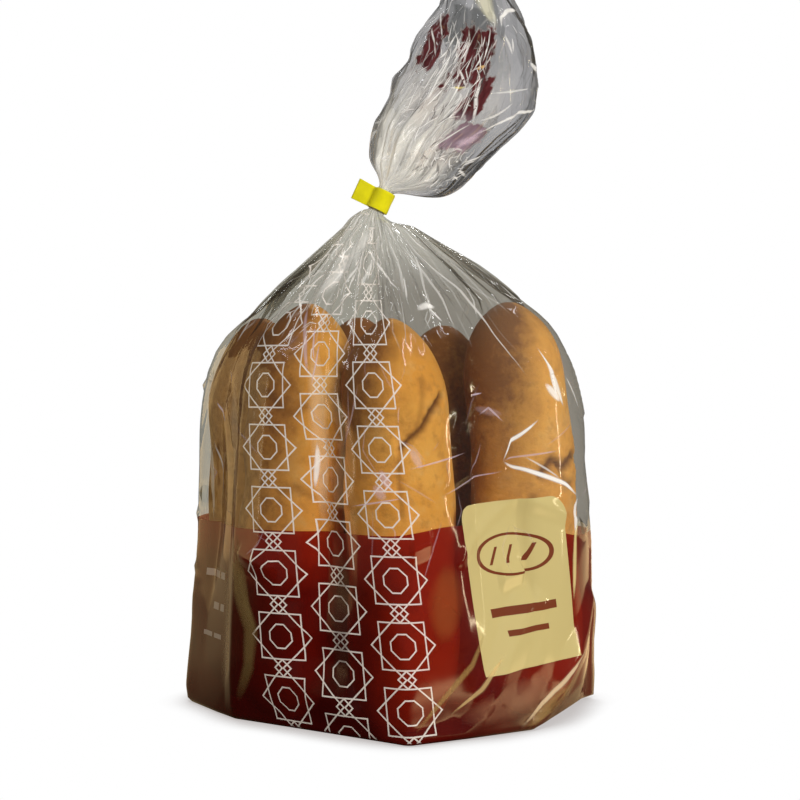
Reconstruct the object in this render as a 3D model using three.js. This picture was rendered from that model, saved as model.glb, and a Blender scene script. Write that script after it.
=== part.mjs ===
// Six long sandwich rolls standing on end in a film bag that is gathered and taped at the neck.
// Millimetres, +Z up, +X to the right of the printed front, origin at the middle of the base.
import * as THREE from "three";

// Rolls
const rollRadius = 25;
const rollDomeHeight = 38;
const rollHeelHeight = 26;
const rolls = [
  { name: "front left", foot: [-42, -20], top: [-34, -15], height: 175 },
  { name: "front middle", foot: [7, -42], top: [0.5, -31], height: 168 },
  { name: "front right", foot: [62, -12], top: [52.3, -9], height: 176 },
  { name: "far left", foot: [-60, 17], top: [-57, 13], height: 170 },
  { name: "back right", foot: [30, 26], top: [25, 19], height: 167 },
  { name: "back middle", foot: [-16, 37], top: [-13, 27], height: 171 },
];

// Folded base of the bag: the corners of its block bottom, each with a small radius
const baseCornerRadius = 5;
const baseCorners = [
  [-84, 4],
  [-62, -25],
  [9, -66],
  [57, -43],
  [83, 9],
  [52, 44],
  [-4, 60],
  [-58, 44],
];
const baseEdgeRadius = 1.6;

// Gathered neck, leaning to the right with the tail above it
const neck = { x: -3, z: 220.8, tilt: THREE.MathUtils.degToRad(25), radius: 3.6, halfLength: 5.5 };
const shoulderTop = 196;
const tiltStart = 209;

// Oval rings that the film reaches where no roll holds it out: its side edges, then its shoulders
const filmRings = [
  { z: 112, x: 2.7, halfWidth: 89, halfDepth: 8 },
  { z: 179, x: 2.2, halfWidth: 54.2, halfDepth: 35 },
  { z: 193, x: 0.6, halfWidth: 37, halfDepth: 25 },
  { z: 206, x: -2.8, halfWidth: 19.7, halfDepth: 14 },
  { z: 211, x: -4.5, halfWidth: 13.2, halfDepth: 9.5 },
];

// Tail above the neck: a leaf of crumpled film. Each section runs from its left end to its right end,
// given as [x, z].
const tailSections = [
  { left: [-8, 240], right: [25, 223], halfDepth: 7 },
  { left: [-6, 255], right: [40, 236], halfDepth: 11 },
  { left: [3.5, 271], right: [58.5, 254], halfDepth: 13.5 },
  { left: [12, 285], right: [65, 275], halfDepth: 13 },
  { left: [19, 299], right: [62, 293], halfDepth: 10.5 },
  { left: [25, 312], right: [54, 310], halfDepth: 7 },
  { left: [28, 322], right: [51, 321], halfDepth: 5 },
];
const neckTopTilt = 33;
const mouthDepth = 9;
const tailLumps = [
  { waves: 3, drift: 7, phase: 0, share: 0.05 },
  { waves: 2, drift: -9, phase: 1, share: 0.04 },
];

// Pleats round the gathered film: how deep they are, and how far they lie inside the taut film
const pleatCount = 19;
const pleatStart = 148;
const shoulderPleat = 2.4;
const neckPleat = 0.3;
const tailPleat = 2.6;
const bodyPleatInset = 0.5;
const tailPleatInset = 0.4;
const pleatsOpenAt = 0.35;

// Slack of the film between the rolls, over the heights where it has room
const slackShare = 0.45;
const slackLimit = 7;
const slackRoom = { from: 12, full: 90, fading: 105, gone: 160 };
const creaseFoot = 8;

// Side edge of the film, pressed flat into a narrow upright fin
const fin = { angle: 6, width: 2.2, height: 4, top: 86, fade: 8 };

// Creases pressed into the film: a ridge from one point to the other, as [angle in degrees, height]
const creases = [
  { from: [-58, 2], to: [-34, 50], width: 9, height: 2.2 },
  { from: [-30, 4], to: [-10, 48], width: 9, height: 2.4 },
  { from: [-32, 128], to: [-42, 100], width: 8, height: 1.5 },
  { from: [-42, 100], to: [-12, 80], width: 8, height: 1.5 },
  { from: [-156, 4], to: [-150, 160], width: 8, height: 1.6 },
  { from: [-174, 150], to: [-178, 96], width: 8, height: 1.2 },
  { from: [30, 6], to: [44, 130], width: 9, height: 2.6 },
  { from: [108, 4], to: [100, 150], width: 9, height: 2.6 },
  { from: [146, 6], to: [138, 120], width: 9, height: 2.6 },
];

// Tape round the neck, with its two ends stuck together as a flag
const tape = { width: 9, gap: 0.35, thickness: 0.7, flagLength: 7.5, flagThickness: 0.9 };

// Mesh fineness
const segments = 96;
const bodyLevels = 36;
const tailLevels = 17;

const { clamp, lerp, smoothstep, degToRad } = THREE.MathUtils;

// The middle of a roll and its radius at a height, or null above or below the roll.
function rollSection(roll, z) {
  if (z < 0 || z > roll.height) return null;
  const share = z / roll.height;
  const domeStart = roll.height - rollDomeHeight;
  let radius = rollRadius;
  if (z > domeStart) radius *= Math.sqrt(1 - ((z - domeStart) / rollDomeHeight) ** 2);
  if (z < rollHeelHeight) radius *= Math.sqrt(1 - 0.75 * (1 - z / rollHeelHeight) ** 2);
  return {
    x: lerp(roll.foot[0], roll.top[0], share ** 2),
    y: lerp(roll.foot[1], roll.top[1], share ** 2),
    radius,
  };
}

// The lowest point of the neck, where the film is at its tightest.
const neckLow = {
  x: neck.x - neck.halfLength * Math.sin(neck.tilt),
  z: neck.z - neck.halfLength * Math.cos(neck.tilt),
};

// How far the widest thing at a level reaches in a direction: rolls, base corners, film rings or neck.
function reachAtLevel(z, cos, sin) {
  let reach = -Infinity;
  for (const roll of rolls) {
    const s = rollSection(roll, z);
    if (s) reach = Math.max(reach, s.x * cos + s.y * sin + s.radius);
  }
  if (z === 0)
    for (const [x, y] of baseCorners) reach = Math.max(reach, x * cos + y * sin + baseCornerRadius);
  for (const ring of filmRings)
    if (z === ring.z)
      reach = Math.max(reach, ring.x * cos + Math.hypot(ring.halfWidth * cos, ring.halfDepth * sin));
  if (z === neckLow.z) reach = neckLow.x * cos + neck.radius;
  return reach;
}

// The heights that the taut film may rest on: the base, the rolls' sides and domes, and the gathering.
const rollLevels = [0, 13, 26, 60, 95, 122, 135, 146, 155, 162, 167, 171, 174];
const ringLevels = filmRings.map((ring) => ring.z);
const levels = [...rollLevels, ...ringLevels, neckLow.z].sort((a, b) => a - b);
const directions = 120;
const leastCosine = 0.2;
const reachTable = Array.from({ length: directions }, (_, i) => {
  const phi = (i / directions) * 2 * Math.PI;
  return levels.map((z) => reachAtLevel(z, Math.cos(phi), Math.sin(phi)));
});

// The reach of the taut film in a direction: a skin over every level, straight between those it rests on.
function filmReach(direction, z) {
  const reach = reachTable[direction];
  let best = -Infinity;
  for (let i = 0; i < levels.length; i++) {
    if (levels[i] > z) break;
    for (let j = levels.length - 1; j >= i; j--) {
      if (levels[j] < z) break;
      const share = i === j ? 0 : (z - levels[i]) / (levels[j] - levels[i]);
      best = Math.max(best, lerp(reach[i], reach[j], share));
    }
  }
  return best;
}

// The middle of the film's section at a height.
function bodyMiddle(z) {
  const share = smoothstep(z, 0, neckLow.z);
  return { x: lerp(0, neckLow.x, share), y: lerp(-2, 0, share) };
}

// The radius of the taut film round its middle, as the nearest of the lines that bound the section.
function tautRadii(z) {
  const middle = bodyMiddle(z);
  const reaches = Array.from({ length: directions }, (_, i) => {
    const phi = (i / directions) * 2 * Math.PI;
    return filmReach(i, z) - middle.x * Math.cos(phi) - middle.y * Math.sin(phi);
  });
  return Array.from({ length: segments }, (_, s) => {
    const theta = (s / segments) * 2 * Math.PI;
    let radius = Infinity;
    for (let i = 0; i < directions; i++) {
      const cos = Math.cos(theta - (i / directions) * 2 * Math.PI);
      if (cos > leastCosine) radius = Math.min(radius, reaches[i] / cos);
    }
    return radius;
  });
}

// How far out the rolls stand in a direction from the section's middle.
function rollRadiusAt(theta, z) {
  const middle = bodyMiddle(z);
  let out = 0;
  for (const roll of rolls) {
    const s = rollSection(roll, z);
    if (!s) continue;
    const along = (s.x - middle.x) * Math.cos(theta) + (s.y - middle.y) * Math.sin(theta);
    const aside = (s.y - middle.y) * Math.cos(theta) - (s.x - middle.x) * Math.sin(theta);
    const inside = s.radius ** 2 - aside ** 2;
    if (inside > 0) out = Math.max(out, along + Math.sqrt(inside));
  }
  return out;
}

// Uneven pleats between -1 and 1 round the gathered film.
function pleatWave(theta, height) {
  const drift = 0.9 * Math.sin(3 * theta + 1) + 0.7 * Math.sin(5 * theta + 2) + 0.004 * height;
  const turn = (pleatCount * theta) / (2 * Math.PI) + drift / 2;
  const saw = Math.abs(2 * (turn - Math.floor(turn + 0.5)));
  return (2 * saw - 1) * (0.7 + 0.3 * Math.sin(4 * theta + 0.6));
}

// The height of the pressed creases at a point of the film.
function creaseHeight(theta, z, radius) {
  let out = 0;
  for (const crease of creases) {
    const arc = (angle) => {
      const turn = angle - THREE.MathUtils.radToDeg(theta);
      return degToRad(turn - 360 * Math.round(turn / 360)) * radius;
    };
    const ax = arc(crease.from[0]);
    const az = crease.from[1] - z;
    const dx = arc(crease.to[0]) - ax;
    const dz = crease.to[1] - z - az;
    const t = clamp(-(ax * dx + az * dz) / (dx * dx + dz * dz), 0, 1);
    const distance = Math.hypot(ax + t * dx, az + t * dz);
    out = Math.max(out, crease.height * Math.max(0, 1 - distance / crease.width));
  }
  return out;
}

// How far the fin stands out at a point of the film.
function finHeight(theta, z) {
  const turn = THREE.MathUtils.radToDeg(theta) - fin.angle;
  const away = Math.abs(turn - 360 * Math.round(turn / 360)) / fin.width;
  return fin.height * Math.max(0, 1 - away) * (1 - smoothstep(z, fin.top - fin.fade, fin.top));
}

// One ring of the film's body at a height, before the neck.
function bodyRing(z) {
  const middle = bodyMiddle(z);
  const tilt = neck.tilt * smoothstep(z, tiltStart, neckLow.z);
  const gather = smoothstep(z, pleatStart, shoulderTop);
  const squeeze = smoothstep(z, shoulderTop, neckLow.z);
  const pleat = lerp(shoulderPleat * gather, neckPleat, squeeze);
  const room =
    smoothstep(z, slackRoom.from, slackRoom.full) *
    (1 - smoothstep(z, slackRoom.fading, slackRoom.gone));
  const radii = tautRadii(z);
  return radii.map((taut, s) => {
    const theta = (s / segments) * 2 * Math.PI;
    const gap = Math.max(0, taut - rollRadiusAt(theta, z));
    const slack = Math.min(slackLimit, slackShare * gap) * room;
    const relief = creaseHeight(theta, z, taut) * smoothstep(z, 0, creaseFoot) + finHeight(theta, z);
    const radius = taut - slack + relief + pleat * (pleatWave(theta, z) - bodyPleatInset);
    return ringPoint({ ...middle, z, tilt }, theta, radius, radius);
  });
}

// A point of a tilted section, whose width lies along X before the tilt and its depth along Y.
function ringPoint(section, theta, radiusX, radiusY) {
  const across = radiusX * Math.cos(theta);
  return new THREE.Vector3(
    section.x + across * Math.cos(section.tilt),
    (section.y ?? 0) + radiusY * Math.sin(theta),
    section.z - across * Math.sin(section.tilt),
  );
}

// The middle, tilt and half sizes of a tail section.
function stationOf({ left, right, halfDepth }) {
  const across = right[0] - left[0];
  const drop = left[1] - right[1];
  return {
    x: (left[0] + right[0]) / 2,
    z: (left[1] + right[1]) / 2,
    tilt: THREE.MathUtils.radToDeg(Math.atan2(drop, across)),
    halfWidth: Math.hypot(across, drop) / 2,
    halfDepth,
  };
}

// The stations of the gathered film from the neck to the mouth, followed by smooth curves.
const neckSize = { halfWidth: neck.radius, halfDepth: neck.radius };
const gathered = [
  { x: neckLow.x, z: neckLow.z, tilt: THREE.MathUtils.radToDeg(neck.tilt), ...neckSize },
  {
    x: neck.x + neck.halfLength * Math.sin(neck.tilt),
    z: neck.z + neck.halfLength * Math.cos(neck.tilt),
    tilt: neckTopTilt,
    ...neckSize,
  },
  ...tailSections.map(stationOf),
];
const middleCurve = new THREE.CatmullRomCurve3(
  gathered.map((s) => new THREE.Vector3(s.x, s.tilt, s.z)),
);
const sizeCurve = new THREE.CatmullRomCurve3(
  gathered.map((s) => new THREE.Vector3(s.halfWidth, s.halfDepth, 0)),
);

// One ring of the tail: share 0 at the top of the neck, 1 at the mouth.
function tailRing(share) {
  const first = 1 / (gathered.length - 1);
  const at = lerp(first, 1, share);
  const middle = middleCurve.getPoint(at);
  const size = sizeCurve.getPoint(at);
  const section = { x: middle.x, y: 0, z: middle.z, tilt: degToRad(middle.y) };
  const pleat = lerp(neckPleat, tailPleat, smoothstep(share, 0, pleatsOpenAt));
  return Array.from({ length: segments }, (_, s) => {
    const theta = (s / segments) * 2 * Math.PI;
    const lump = tailLumps.reduce(
      (sum, l) => sum + l.share * Math.sin(l.waves * theta + l.drift * share + l.phase),
      0,
    );
    const swell = 1 + lump * smoothstep(share, 0, pleatsOpenAt);
    const relief = pleat * (pleatWave(theta, middle.z) - tailPleatInset);
    return ringPoint(section, theta, size.x * swell + relief, size.y * swell + relief);
  });
}

// Joins rings into one closed solid, with a fan at each end.
function solidFromRings(rings) {
  const count = rings[0].length;
  const points = rings.flat();
  const faces = [];
  for (let r = 0; r + 1 < rings.length; r++)
    for (let s = 0; s < count; s++) {
      const a = r * count + s;
      const b = r * count + ((s + 1) % count);
      faces.push(a, b, b + count, a, b + count, a + count);
    }
  for (const [start, flip, depth] of [
    [0, true, 0],
    [(rings.length - 1) * count, false, mouthDepth],
  ]) {
    const ends = points.slice(start, start + count);
    const middle = ends.reduce((sum, p) => sum.add(p), new THREE.Vector3()).divideScalar(count);
    middle.z -= depth;
    points.push(middle);
    for (let s = 0; s < count; s++) {
      const a = start + s;
      const b = start + ((s + 1) % count);
      if (flip) faces.push(b, a, points.length - 1);
      else faces.push(a, b, points.length - 1);
    }
  }
  const geometry = new THREE.BufferGeometry().setFromPoints(points);
  geometry.setIndex(faces);
  geometry.computeVertexNormals();
  return geometry;
}

function bagGeometry() {
  const rings = [];
  const foot = bodyRing(0);
  const middle = bodyMiddle(0);
  rings.push(
    foot.map((p) => {
      const out = new THREE.Vector2(p.x - middle.x, p.y - middle.y);
      out.setLength(out.length() - baseEdgeRadius);
      return new THREE.Vector3(middle.x + out.x, middle.y + out.y, 0);
    }),
  );
  for (let i = 0; i < bodyLevels; i++) {
    const share = i / (bodyLevels - 1);
    rings.push(bodyRing(lerp(baseEdgeRadius, neckLow.z, share)));
  }
  for (let i = 0; i < tailLevels; i++) rings.push(tailRing(i / (tailLevels - 1)));
  return solidFromRings(rings);
}

// The tape seen along the neck: a band round the film that runs out into a flat flag on the left.
function tapeGeometry() {
  const inner = neck.radius + neckPleat + tape.gap;
  const outer = inner + tape.thickness;
  const half = tape.flagThickness / 2;
  const start = Math.PI - Math.asin(half / outer);
  const outline = new THREE.Shape();
  outline.moveTo(-outer - tape.flagLength, half);
  outline.lineTo(-outer - tape.flagLength, -half);
  outline.lineTo(-outer * Math.cos(Math.PI - start), -half);
  outline.absarc(0, 0, outer, -start, start, false);
  const hole = new THREE.Path();
  hole.absarc(0, 0, inner, 0, 2 * Math.PI, true);
  outline.holes.push(hole);
  const geometry = new THREE.ExtrudeGeometry(outline, {
    depth: tape.width,
    bevelEnabled: false,
    curveSegments: 20,
  });
  return geometry.translate(0, 0, -tape.width / 2);
}

const filmMaterial = new THREE.MeshStandardMaterial({
  color: 0x9a5a32,
  roughness: 0.25,
  metalness: 0,
});
const tapeMaterial = new THREE.MeshStandardMaterial({
  color: 0xe2d80a,
  roughness: 0.4,
  metalness: 0,
});

const bag = new THREE.Mesh(bagGeometry(), filmMaterial);
bag.name = "bag";

const neckTape = new THREE.Mesh(tapeGeometry(), tapeMaterial);
neckTape.name = "neck_tape";
neckTape.position.set(neck.x, 0, neck.z);
neckTape.rotation.y = neck.tilt;

const pack = new THREE.Group();
pack.add(bag, neckTape);

export default pack;
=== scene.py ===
"""Six long sandwich rolls in a clear film bag with a dark red base, taped at the neck."""

import math

import bpy
import numpy as np
from mathutils import Matrix, Vector


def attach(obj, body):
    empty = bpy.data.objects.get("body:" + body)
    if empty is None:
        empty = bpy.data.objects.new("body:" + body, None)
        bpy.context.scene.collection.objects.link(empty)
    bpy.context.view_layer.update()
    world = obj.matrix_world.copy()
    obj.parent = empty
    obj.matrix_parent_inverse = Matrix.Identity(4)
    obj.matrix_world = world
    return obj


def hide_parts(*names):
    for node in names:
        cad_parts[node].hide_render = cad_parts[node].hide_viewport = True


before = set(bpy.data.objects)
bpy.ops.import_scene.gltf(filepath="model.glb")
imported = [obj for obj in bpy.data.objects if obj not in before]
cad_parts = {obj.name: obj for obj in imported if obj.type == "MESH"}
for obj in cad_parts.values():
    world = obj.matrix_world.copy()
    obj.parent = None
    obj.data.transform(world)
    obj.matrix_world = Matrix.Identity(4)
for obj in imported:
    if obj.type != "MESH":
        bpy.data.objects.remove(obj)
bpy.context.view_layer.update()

MM = 0.001
TURN = 2 * math.pi

# Rolls: the middle at the foot and at the top, in millimetres
ROLL_RADIUS = 25
DOME_HEIGHT = 38
HEEL_HEIGHT = 26
ROLLS = [
    {"name": "front_left", "foot": (-42, -20), "top": (-34, -15), "height": 175},
    {"name": "front_middle", "foot": (7, -42), "top": (0.5, -31), "height": 168},
    {"name": "front_right", "foot": (62, -12), "top": (52.3, -9), "height": 176},
    {"name": "far_left", "foot": (-60, 17), "top": (-57, 13), "height": 170},
    {"name": "back_right", "foot": (30, 26), "top": (25, 19), "height": 167},
    {"name": "back_middle", "foot": (-16, 37), "top": (-13, 27), "height": 171},
]
# How dark each crust is made on one side: partly its own browning, and partly painted shade where a roll
# turns from the key lamp and where it stands behind others: direction in degrees, how dark there, how dark
# all over, and what share of the first is left at the foot
BAKE_AND_SHADE_SIDES = {
    "front_left": (-160, 0.85, 0.0, 0.75),
    "front_middle": (-175, 1.1, -0.1, 0.0),
    "front_right": (-155, 0.95, 0.05, 0.15),
    "far_left": (-150, 0.5, 0.3, 0.5),
    "back_right": (-90, 0.4, 0.35, 0.5),
    "back_middle": (-90, 0.4, 0.4, 0.5),
}
TOP_BAKED = 0.45
ROLL_CLEARANCE = 0.9
# The depth of a crack whose painted shade is darkest, and the most that its lips rise
DARKEST_CRACK_DEPTH = 1.8
CRACK_LIP = 0.6
ROLL_AROUND = 150
ROLL_ALONG = 180

# Cracks and wrinkles in the crusts: points as (angle in degrees, height), then a depth and a width
CRACKS = {
    "front_middle": [
        ([(-86, 115), (-76, 119), (-62, 123), (-50, 130), (-33, 136)], 1.8, 2),
        ([(-86, 117), (-90, 104), (-88, 88)], 0.8, 1.5),
        ([(-78, 108), (-62, 114), (-42, 124)], -1.4, 7),
        ([(-66, 125), (-60, 136), (-58, 142)], 0.6, 2),
    ],
    "front_right": [
        ([(-78, 103), (-62, 109), (-46, 106), (-22, 110), (-4, 108)], 1.8, 3),
        ([(-52, 106), (-44, 99), (-30, 98)], 1.2, 2.6),
        ([(-88, 92), (-84, 78), (-86, 66)], 1.2, 3),
    ],
    "front_left": [
        ([(-118, 132), (-100, 128), (-80, 131)], 0.9, 3),
        ([(-104, 96), (-86, 98), (-66, 94)], 0.8, 3),
    ],
}

# Folded base of the bag
BASE_RADIUS = 5
BASE_EDGE = 1.6
BASE_CORNERS = [(-84, 4), (-62, -25), (9, -66), (57, -43), (83, 9), (52, 44), (-4, 60), (-58, 44)]

# Gathered neck and the tail above it
NECK_X = -3
NECK_Z = 220.8
NECK_TILT = math.radians(25)
NECK_RADIUS = 3.6
NECK_HALF = 5.5
SHOULDER_TOP = 196
TILT_START = 209
# Oval rings that the film reaches where no roll holds it out: height, middle and half sizes
FILM_RINGS = [
    (112, 2.7, 89, 8),
    (179, 2.2, 54.2, 35),
    (193, 0.6, 37, 25),
    (206, -2.8, 19.7, 14),
    (211, -4.5, 13.2, 9.5),
]
NECK_TOP_TILT = 33
# Sections of the tail: left end and right end as (x, z), and half the depth
TAIL_SECTIONS = [
    ((-8, 240), (25, 223), 7),
    ((-6, 255), (40, 236), 11),
    ((3.5, 271), (58.5, 254), 13.5),
    ((12, 285), (65, 275), 13),
    ((19, 299), (62, 293), 10.5),
    ((25, 312), (54, 310), 7),
    ((28, 322), (51, 321), 5),
]
TAIL_GIRTH = 190
TAIL_LENGTH = 118
NECK_LOW_X = NECK_X - NECK_HALF * math.sin(NECK_TILT)
NECK_LOW_Z = NECK_Z - NECK_HALF * math.cos(NECK_TILT)
NECK_HIGH_X = NECK_X + NECK_HALF * math.sin(NECK_TILT)
NECK_HIGH_Z = NECK_Z + NECK_HALF * math.cos(NECK_TILT)

# Folds of the film
SLACK_SHARE = 0.45
SLACK_LIMIT = 7
SLACK_START = (12, 90)
SLACK_FADE = (105, 160)
FIN = {"angle": 6, "width": 1.6, "height": 4, "top": 86}
# Pressed creases: both ends as (direction in degrees, height), then the width and the height
CREASES = [
    ((-58, 2), (-34, 50), 8, 2.2),
    ((-30, 4), (-10, 48), 8, 2.4),
    ((-32, 128), (-42, 100), 5, 1.5),
    ((-42, 100), (-12, 80), 5, 1.5),
    ((-156, 4), (-150, 160), 7, 1.6),
    ((-174, 150), (-178, 96), 6, 1.2),
    ((30, 6), (44, 130), 6, 2.6),
    ((108, 4), (100, 150), 6, 2.6),
    ((146, 6), (138, 120), 6, 2.6),
    ((-27, 156), (-17, 134), 3, 1.1),
    ((-12, 152), (-6, 128), 3, 1.2),
    ((-10, 96), (-4, 70), 4, 0.9),
    ((-4, 70), (-9, 50), 4, 0.9),
    ((-165, 134), (-158, 116), 3, 1.2),
    ((-60, 70), (-36, 92), 3.5, 0.9),
    ((-90, 92), (-52, 104), 3, 0.8),
    ((-50, 134), (-58, 118), 3, 0.9),
]
# Where the gathered pleats start, their depth as a share of the radius, and their depth at the neck
GATHER_START = 140
GATHER_DEPTH = 0.24
NECK_PLEAT = 0.35
# How fine the film's meshes are
BODY_AROUND = 480
BODY_ALONG = 170
LOW_ROWS = int(BODY_ALONG * 0.6)
BASE_RINGS = 22
NECK_RINGS = 8
TAIL_AROUND = 420
TAIL_ALONG = 150
MAIN_PLEATS = 23
FINE_PLEATS = 57


def smoothstep(x, low, high):
    t = np.clip((x - low) / (high - low), 0, 1)
    return t * t * (3 - 2 * t)


def lerp(a, b, t):
    return a + (b - a) * t


def wrap_degrees(turn):
    return turn - 360 * np.round(turn / 360)


def directions_from_behind(count):
    """Directions all round, from straight behind and round by the left and the front."""
    return -math.pi * 1.5 + np.arange(count) / count * TURN


def roll_section(roll, z):
    """Middle and radius of a roll at the heights z. The radius is 0 off the roll."""
    share = np.clip(z / roll["height"], 0, 1)
    dome = np.clip((z - (roll["height"] - DOME_HEIGHT)) / DOME_HEIGHT, 0, 1)
    heel = np.clip(1 - z / HEEL_HEIGHT, 0, 1)
    radius = ROLL_RADIUS * np.sqrt(1 - dome**2) * np.sqrt(1 - 0.75 * heel**2)
    radius = np.where((z < 0) | (z > roll["height"]), 0, radius)
    x = lerp(roll["foot"][0], roll["top"][0], share**2)
    y = lerp(roll["foot"][1], roll["top"][1], share**2)
    return x, y, radius


# The taut film: the tightest skin over the rolls, the base corners and the neck
ROLL_LEVELS = [0, 13, 26, 60, 95, 122, 135, 146, 155, 162, 167, 171, 174]
LEVELS = sorted(ROLL_LEVELS + [ring[0] for ring in FILM_RINGS] + [NECK_LOW_Z])
DIRECTIONS = np.arange(120) / 120 * TURN


def reach_at_level(z):
    cos, sin = np.cos(DIRECTIONS), np.sin(DIRECTIONS)
    reach = np.full(len(DIRECTIONS), -np.inf)
    for roll in ROLLS:
        x, y, radius = roll_section(roll, z)
        if z <= roll["height"]:
            reach = np.maximum(reach, x * cos + y * sin + radius)
    if z == 0:
        for x, y in BASE_CORNERS:
            reach = np.maximum(reach, x * cos + y * sin + BASE_RADIUS)
    for height, x, half_width, half_depth in FILM_RINGS:
        if z == height:
            reach = np.maximum(reach, x * cos + np.hypot(half_width * cos, half_depth * sin))
    if z == NECK_LOW_Z:
        reach = NECK_LOW_X * cos + NECK_RADIUS
    return reach


REACH = np.array([reach_at_level(z) for z in LEVELS])


def film_reach(z):
    best = np.full(len(DIRECTIONS), -np.inf)
    for i, low in enumerate(LEVELS):
        if low > z:
            break
        for j in range(i, len(LEVELS)):
            high = LEVELS[j]
            if high < z:
                continue
            share = 0 if i == j else (z - low) / (high - low)
            best = np.maximum(best, lerp(REACH[i], REACH[j], share))
    return best


def body_middle(z):
    share = smoothstep(z, 0, NECK_LOW_Z)
    return lerp(0, NECK_LOW_X, share), lerp(-2, 0, share)


def taut_radii(theta, z):
    """The radius of the taut film round its middle in the directions theta, at one height."""
    mx, my = body_middle(z)
    reach = film_reach(z) - mx * np.cos(DIRECTIONS) - my * np.sin(DIRECTIONS)
    cos = np.cos(theta[:, None] - DIRECTIONS[None])
    return np.where(cos > 0.2, reach[None] / np.maximum(cos, 0.2), np.inf).min(1)


def roll_radius_at(theta, z):
    """How far out the rolls stand from the section's middle in the directions theta."""
    mx, my = body_middle(z)
    out = np.zeros(len(theta))
    for roll in ROLLS:
        x, y, radius = roll_section(roll, z)
        along = (x - mx) * np.cos(theta) + (y - my) * np.sin(theta)
        aside = (y - my) * np.cos(theta) - (x - mx) * np.sin(theta)
        inside = radius**2 - aside**2
        out = np.where(inside > 0, np.maximum(out, along + np.sqrt(np.maximum(inside, 0))), out)
    return out


def ridge(turn):
    """A sharp zigzag between 0 and 1 with one ridge for each whole turn."""
    return 1 - np.abs(2 * (turn - np.floor(turn)) - 1)


def pleat_wave(theta, height):
    """Uneven pleats round the gathered film, from 0 in the valleys to 1 on the ridges."""
    drift = 0.9 * np.sin(3 * theta + 1) + 0.7 * np.sin(5 * theta + 2) + 0.006 * height
    main = ridge(MAIN_PLEATS * theta / TURN + 0.5 * drift)
    fine = ridge(FINE_PLEATS * theta / TURN + 1.3 * np.sin(4 * theta) + 0.012 * height)
    depth = 0.75 + 0.25 * np.sin(4 * theta + 0.6)
    return 1 - (1 - (0.72 * main + 0.28 * fine)) * depth


def crinkles(across, along, girth, seed, count, length, width, height, spread):
    """Thin creases at random places, steep on one side, that run out at both ends."""
    rng = np.random.default_rng(seed)
    out = np.zeros(across.shape)
    low, high = along.min(), along.max()
    for _ in range(count):
        middle_x, middle_z = rng.uniform(0, girth), rng.uniform(low, high)
        half = length / 2 * rng.uniform(0.4, 1.3)
        angle = spread * rng.normal()
        steep, wide = width * rng.uniform(0.6, 1.2), width * rng.uniform(1.5, 4)
        tall = height * rng.uniform(0.3, 1) * rng.choice([1, 1, -1])
        side = rng.choice([-1, 1])
        near = np.abs(along[:, 0] - middle_z) < half + 4 * width
        dx, dz = across[near] - middle_x, along[near] - middle_z
        dx = dx - girth * np.round(dx / girth)
        run = dx * math.sin(angle) + dz * math.cos(angle)
        off = side * (dx * math.cos(angle) - dz * math.sin(angle))
        slope = np.maximum(0, 1 - np.where(off > 0, off / steep, -off / wide))
        out[near] += tall * slope * np.maximum(0, 1 - (run / half) ** 2)
    return out


def facets(across, along, girth, seed, count, finest, height):
    """Flat facets between straight sharp creases, as crumpled film has. Repeats over girth across."""
    rng = np.random.default_rng(seed)
    out = np.zeros(across.shape)
    for _ in range(count):
        angle = rng.uniform(0, math.pi)
        length = finest * rng.uniform(1, 2.6)
        turns = round(girth * math.cos(angle) / length)
        warp = 0.35 * np.sin(TURN * (along / (4 * finest) + rng.uniform()) + 2 * across / girth * TURN)
        wave = ridge(turns * across / girth + along * math.sin(angle) / length + rng.uniform() + warp)
        out += height * length / finest * (wave - 0.5)
    return out / math.sqrt(count)


def crease_height(theta, z, radius):
    """Height of the pressed creases at points of the film, all in one array shape."""
    out = np.zeros(theta.shape)
    degrees = np.degrees(theta)
    for (from_angle, from_z), (to_angle, to_z), width, height in CREASES:
        ax = np.radians(wrap_degrees(from_angle - degrees)) * radius
        bx = np.radians(wrap_degrees(to_angle - degrees)) * radius
        az, bz = from_z - z, to_z - z
        dx, dz = bx - ax, bz - az
        t = np.clip(-(ax * dx + az * dz) / (dx * dx + dz * dz), 0, 1)
        distance = np.hypot(ax + t * dx, az + t * dz)
        out = np.maximum(out, height * np.maximum(0, 1 - distance / width))
    return out


def fin_height(theta, z):
    away = np.abs(wrap_degrees(np.degrees(theta) - FIN["angle"])) / FIN["width"]
    return FIN["height"] * np.maximum(0, 1 - away) * (1 - smoothstep(z, FIN["top"] - 8, FIN["top"]))


def ring_points(x, y, z, tilt, theta, radius_x, radius_y):
    across = radius_x * np.cos(theta)
    return np.stack(
        [x + across * np.cos(tilt), y + radius_y * np.sin(theta), z - across * np.sin(tilt)], -1
    )


def add_mesh(name, points, faces, uv=None):
    """A mesh object from points in millimetres, faces and a UV in metres for each corner."""
    mesh = bpy.data.meshes.new(name)
    mesh.from_pydata((points * MM).tolist(), [], faces)
    if uv is not None:
        layer = mesh.uv_layers.new(name="UVMap")
        layer.data.foreach_set("uv", uv.astype(np.float32).ravel())
    mesh.polygons.foreach_set("use_smooth", [True] * len(mesh.polygons))
    mesh.update()
    obj = bpy.data.objects.new(name, mesh)
    bpy.context.scene.collection.objects.link(obj)
    return obj


def add_layer(obj, name, values, kind="FLOAT", field="value"):
    """A number, or a colour, for each point of an object's mesh."""
    layer = obj.data.attributes.new(name, kind, "POINT")
    layer.data.foreach_set(field, np.asarray(values, np.float32).ravel())


def grid_faces(rows, around):
    """Quads between rows of points that close on themselves, facing out."""
    r, s = np.meshgrid(np.arange(rows - 1), np.arange(around), indexing="ij")
    a = r * around + s
    b = r * around + (s + 1) % around
    return np.stack([a, b, b + around, a + around], -1).reshape(-1, 4).tolist()


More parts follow.
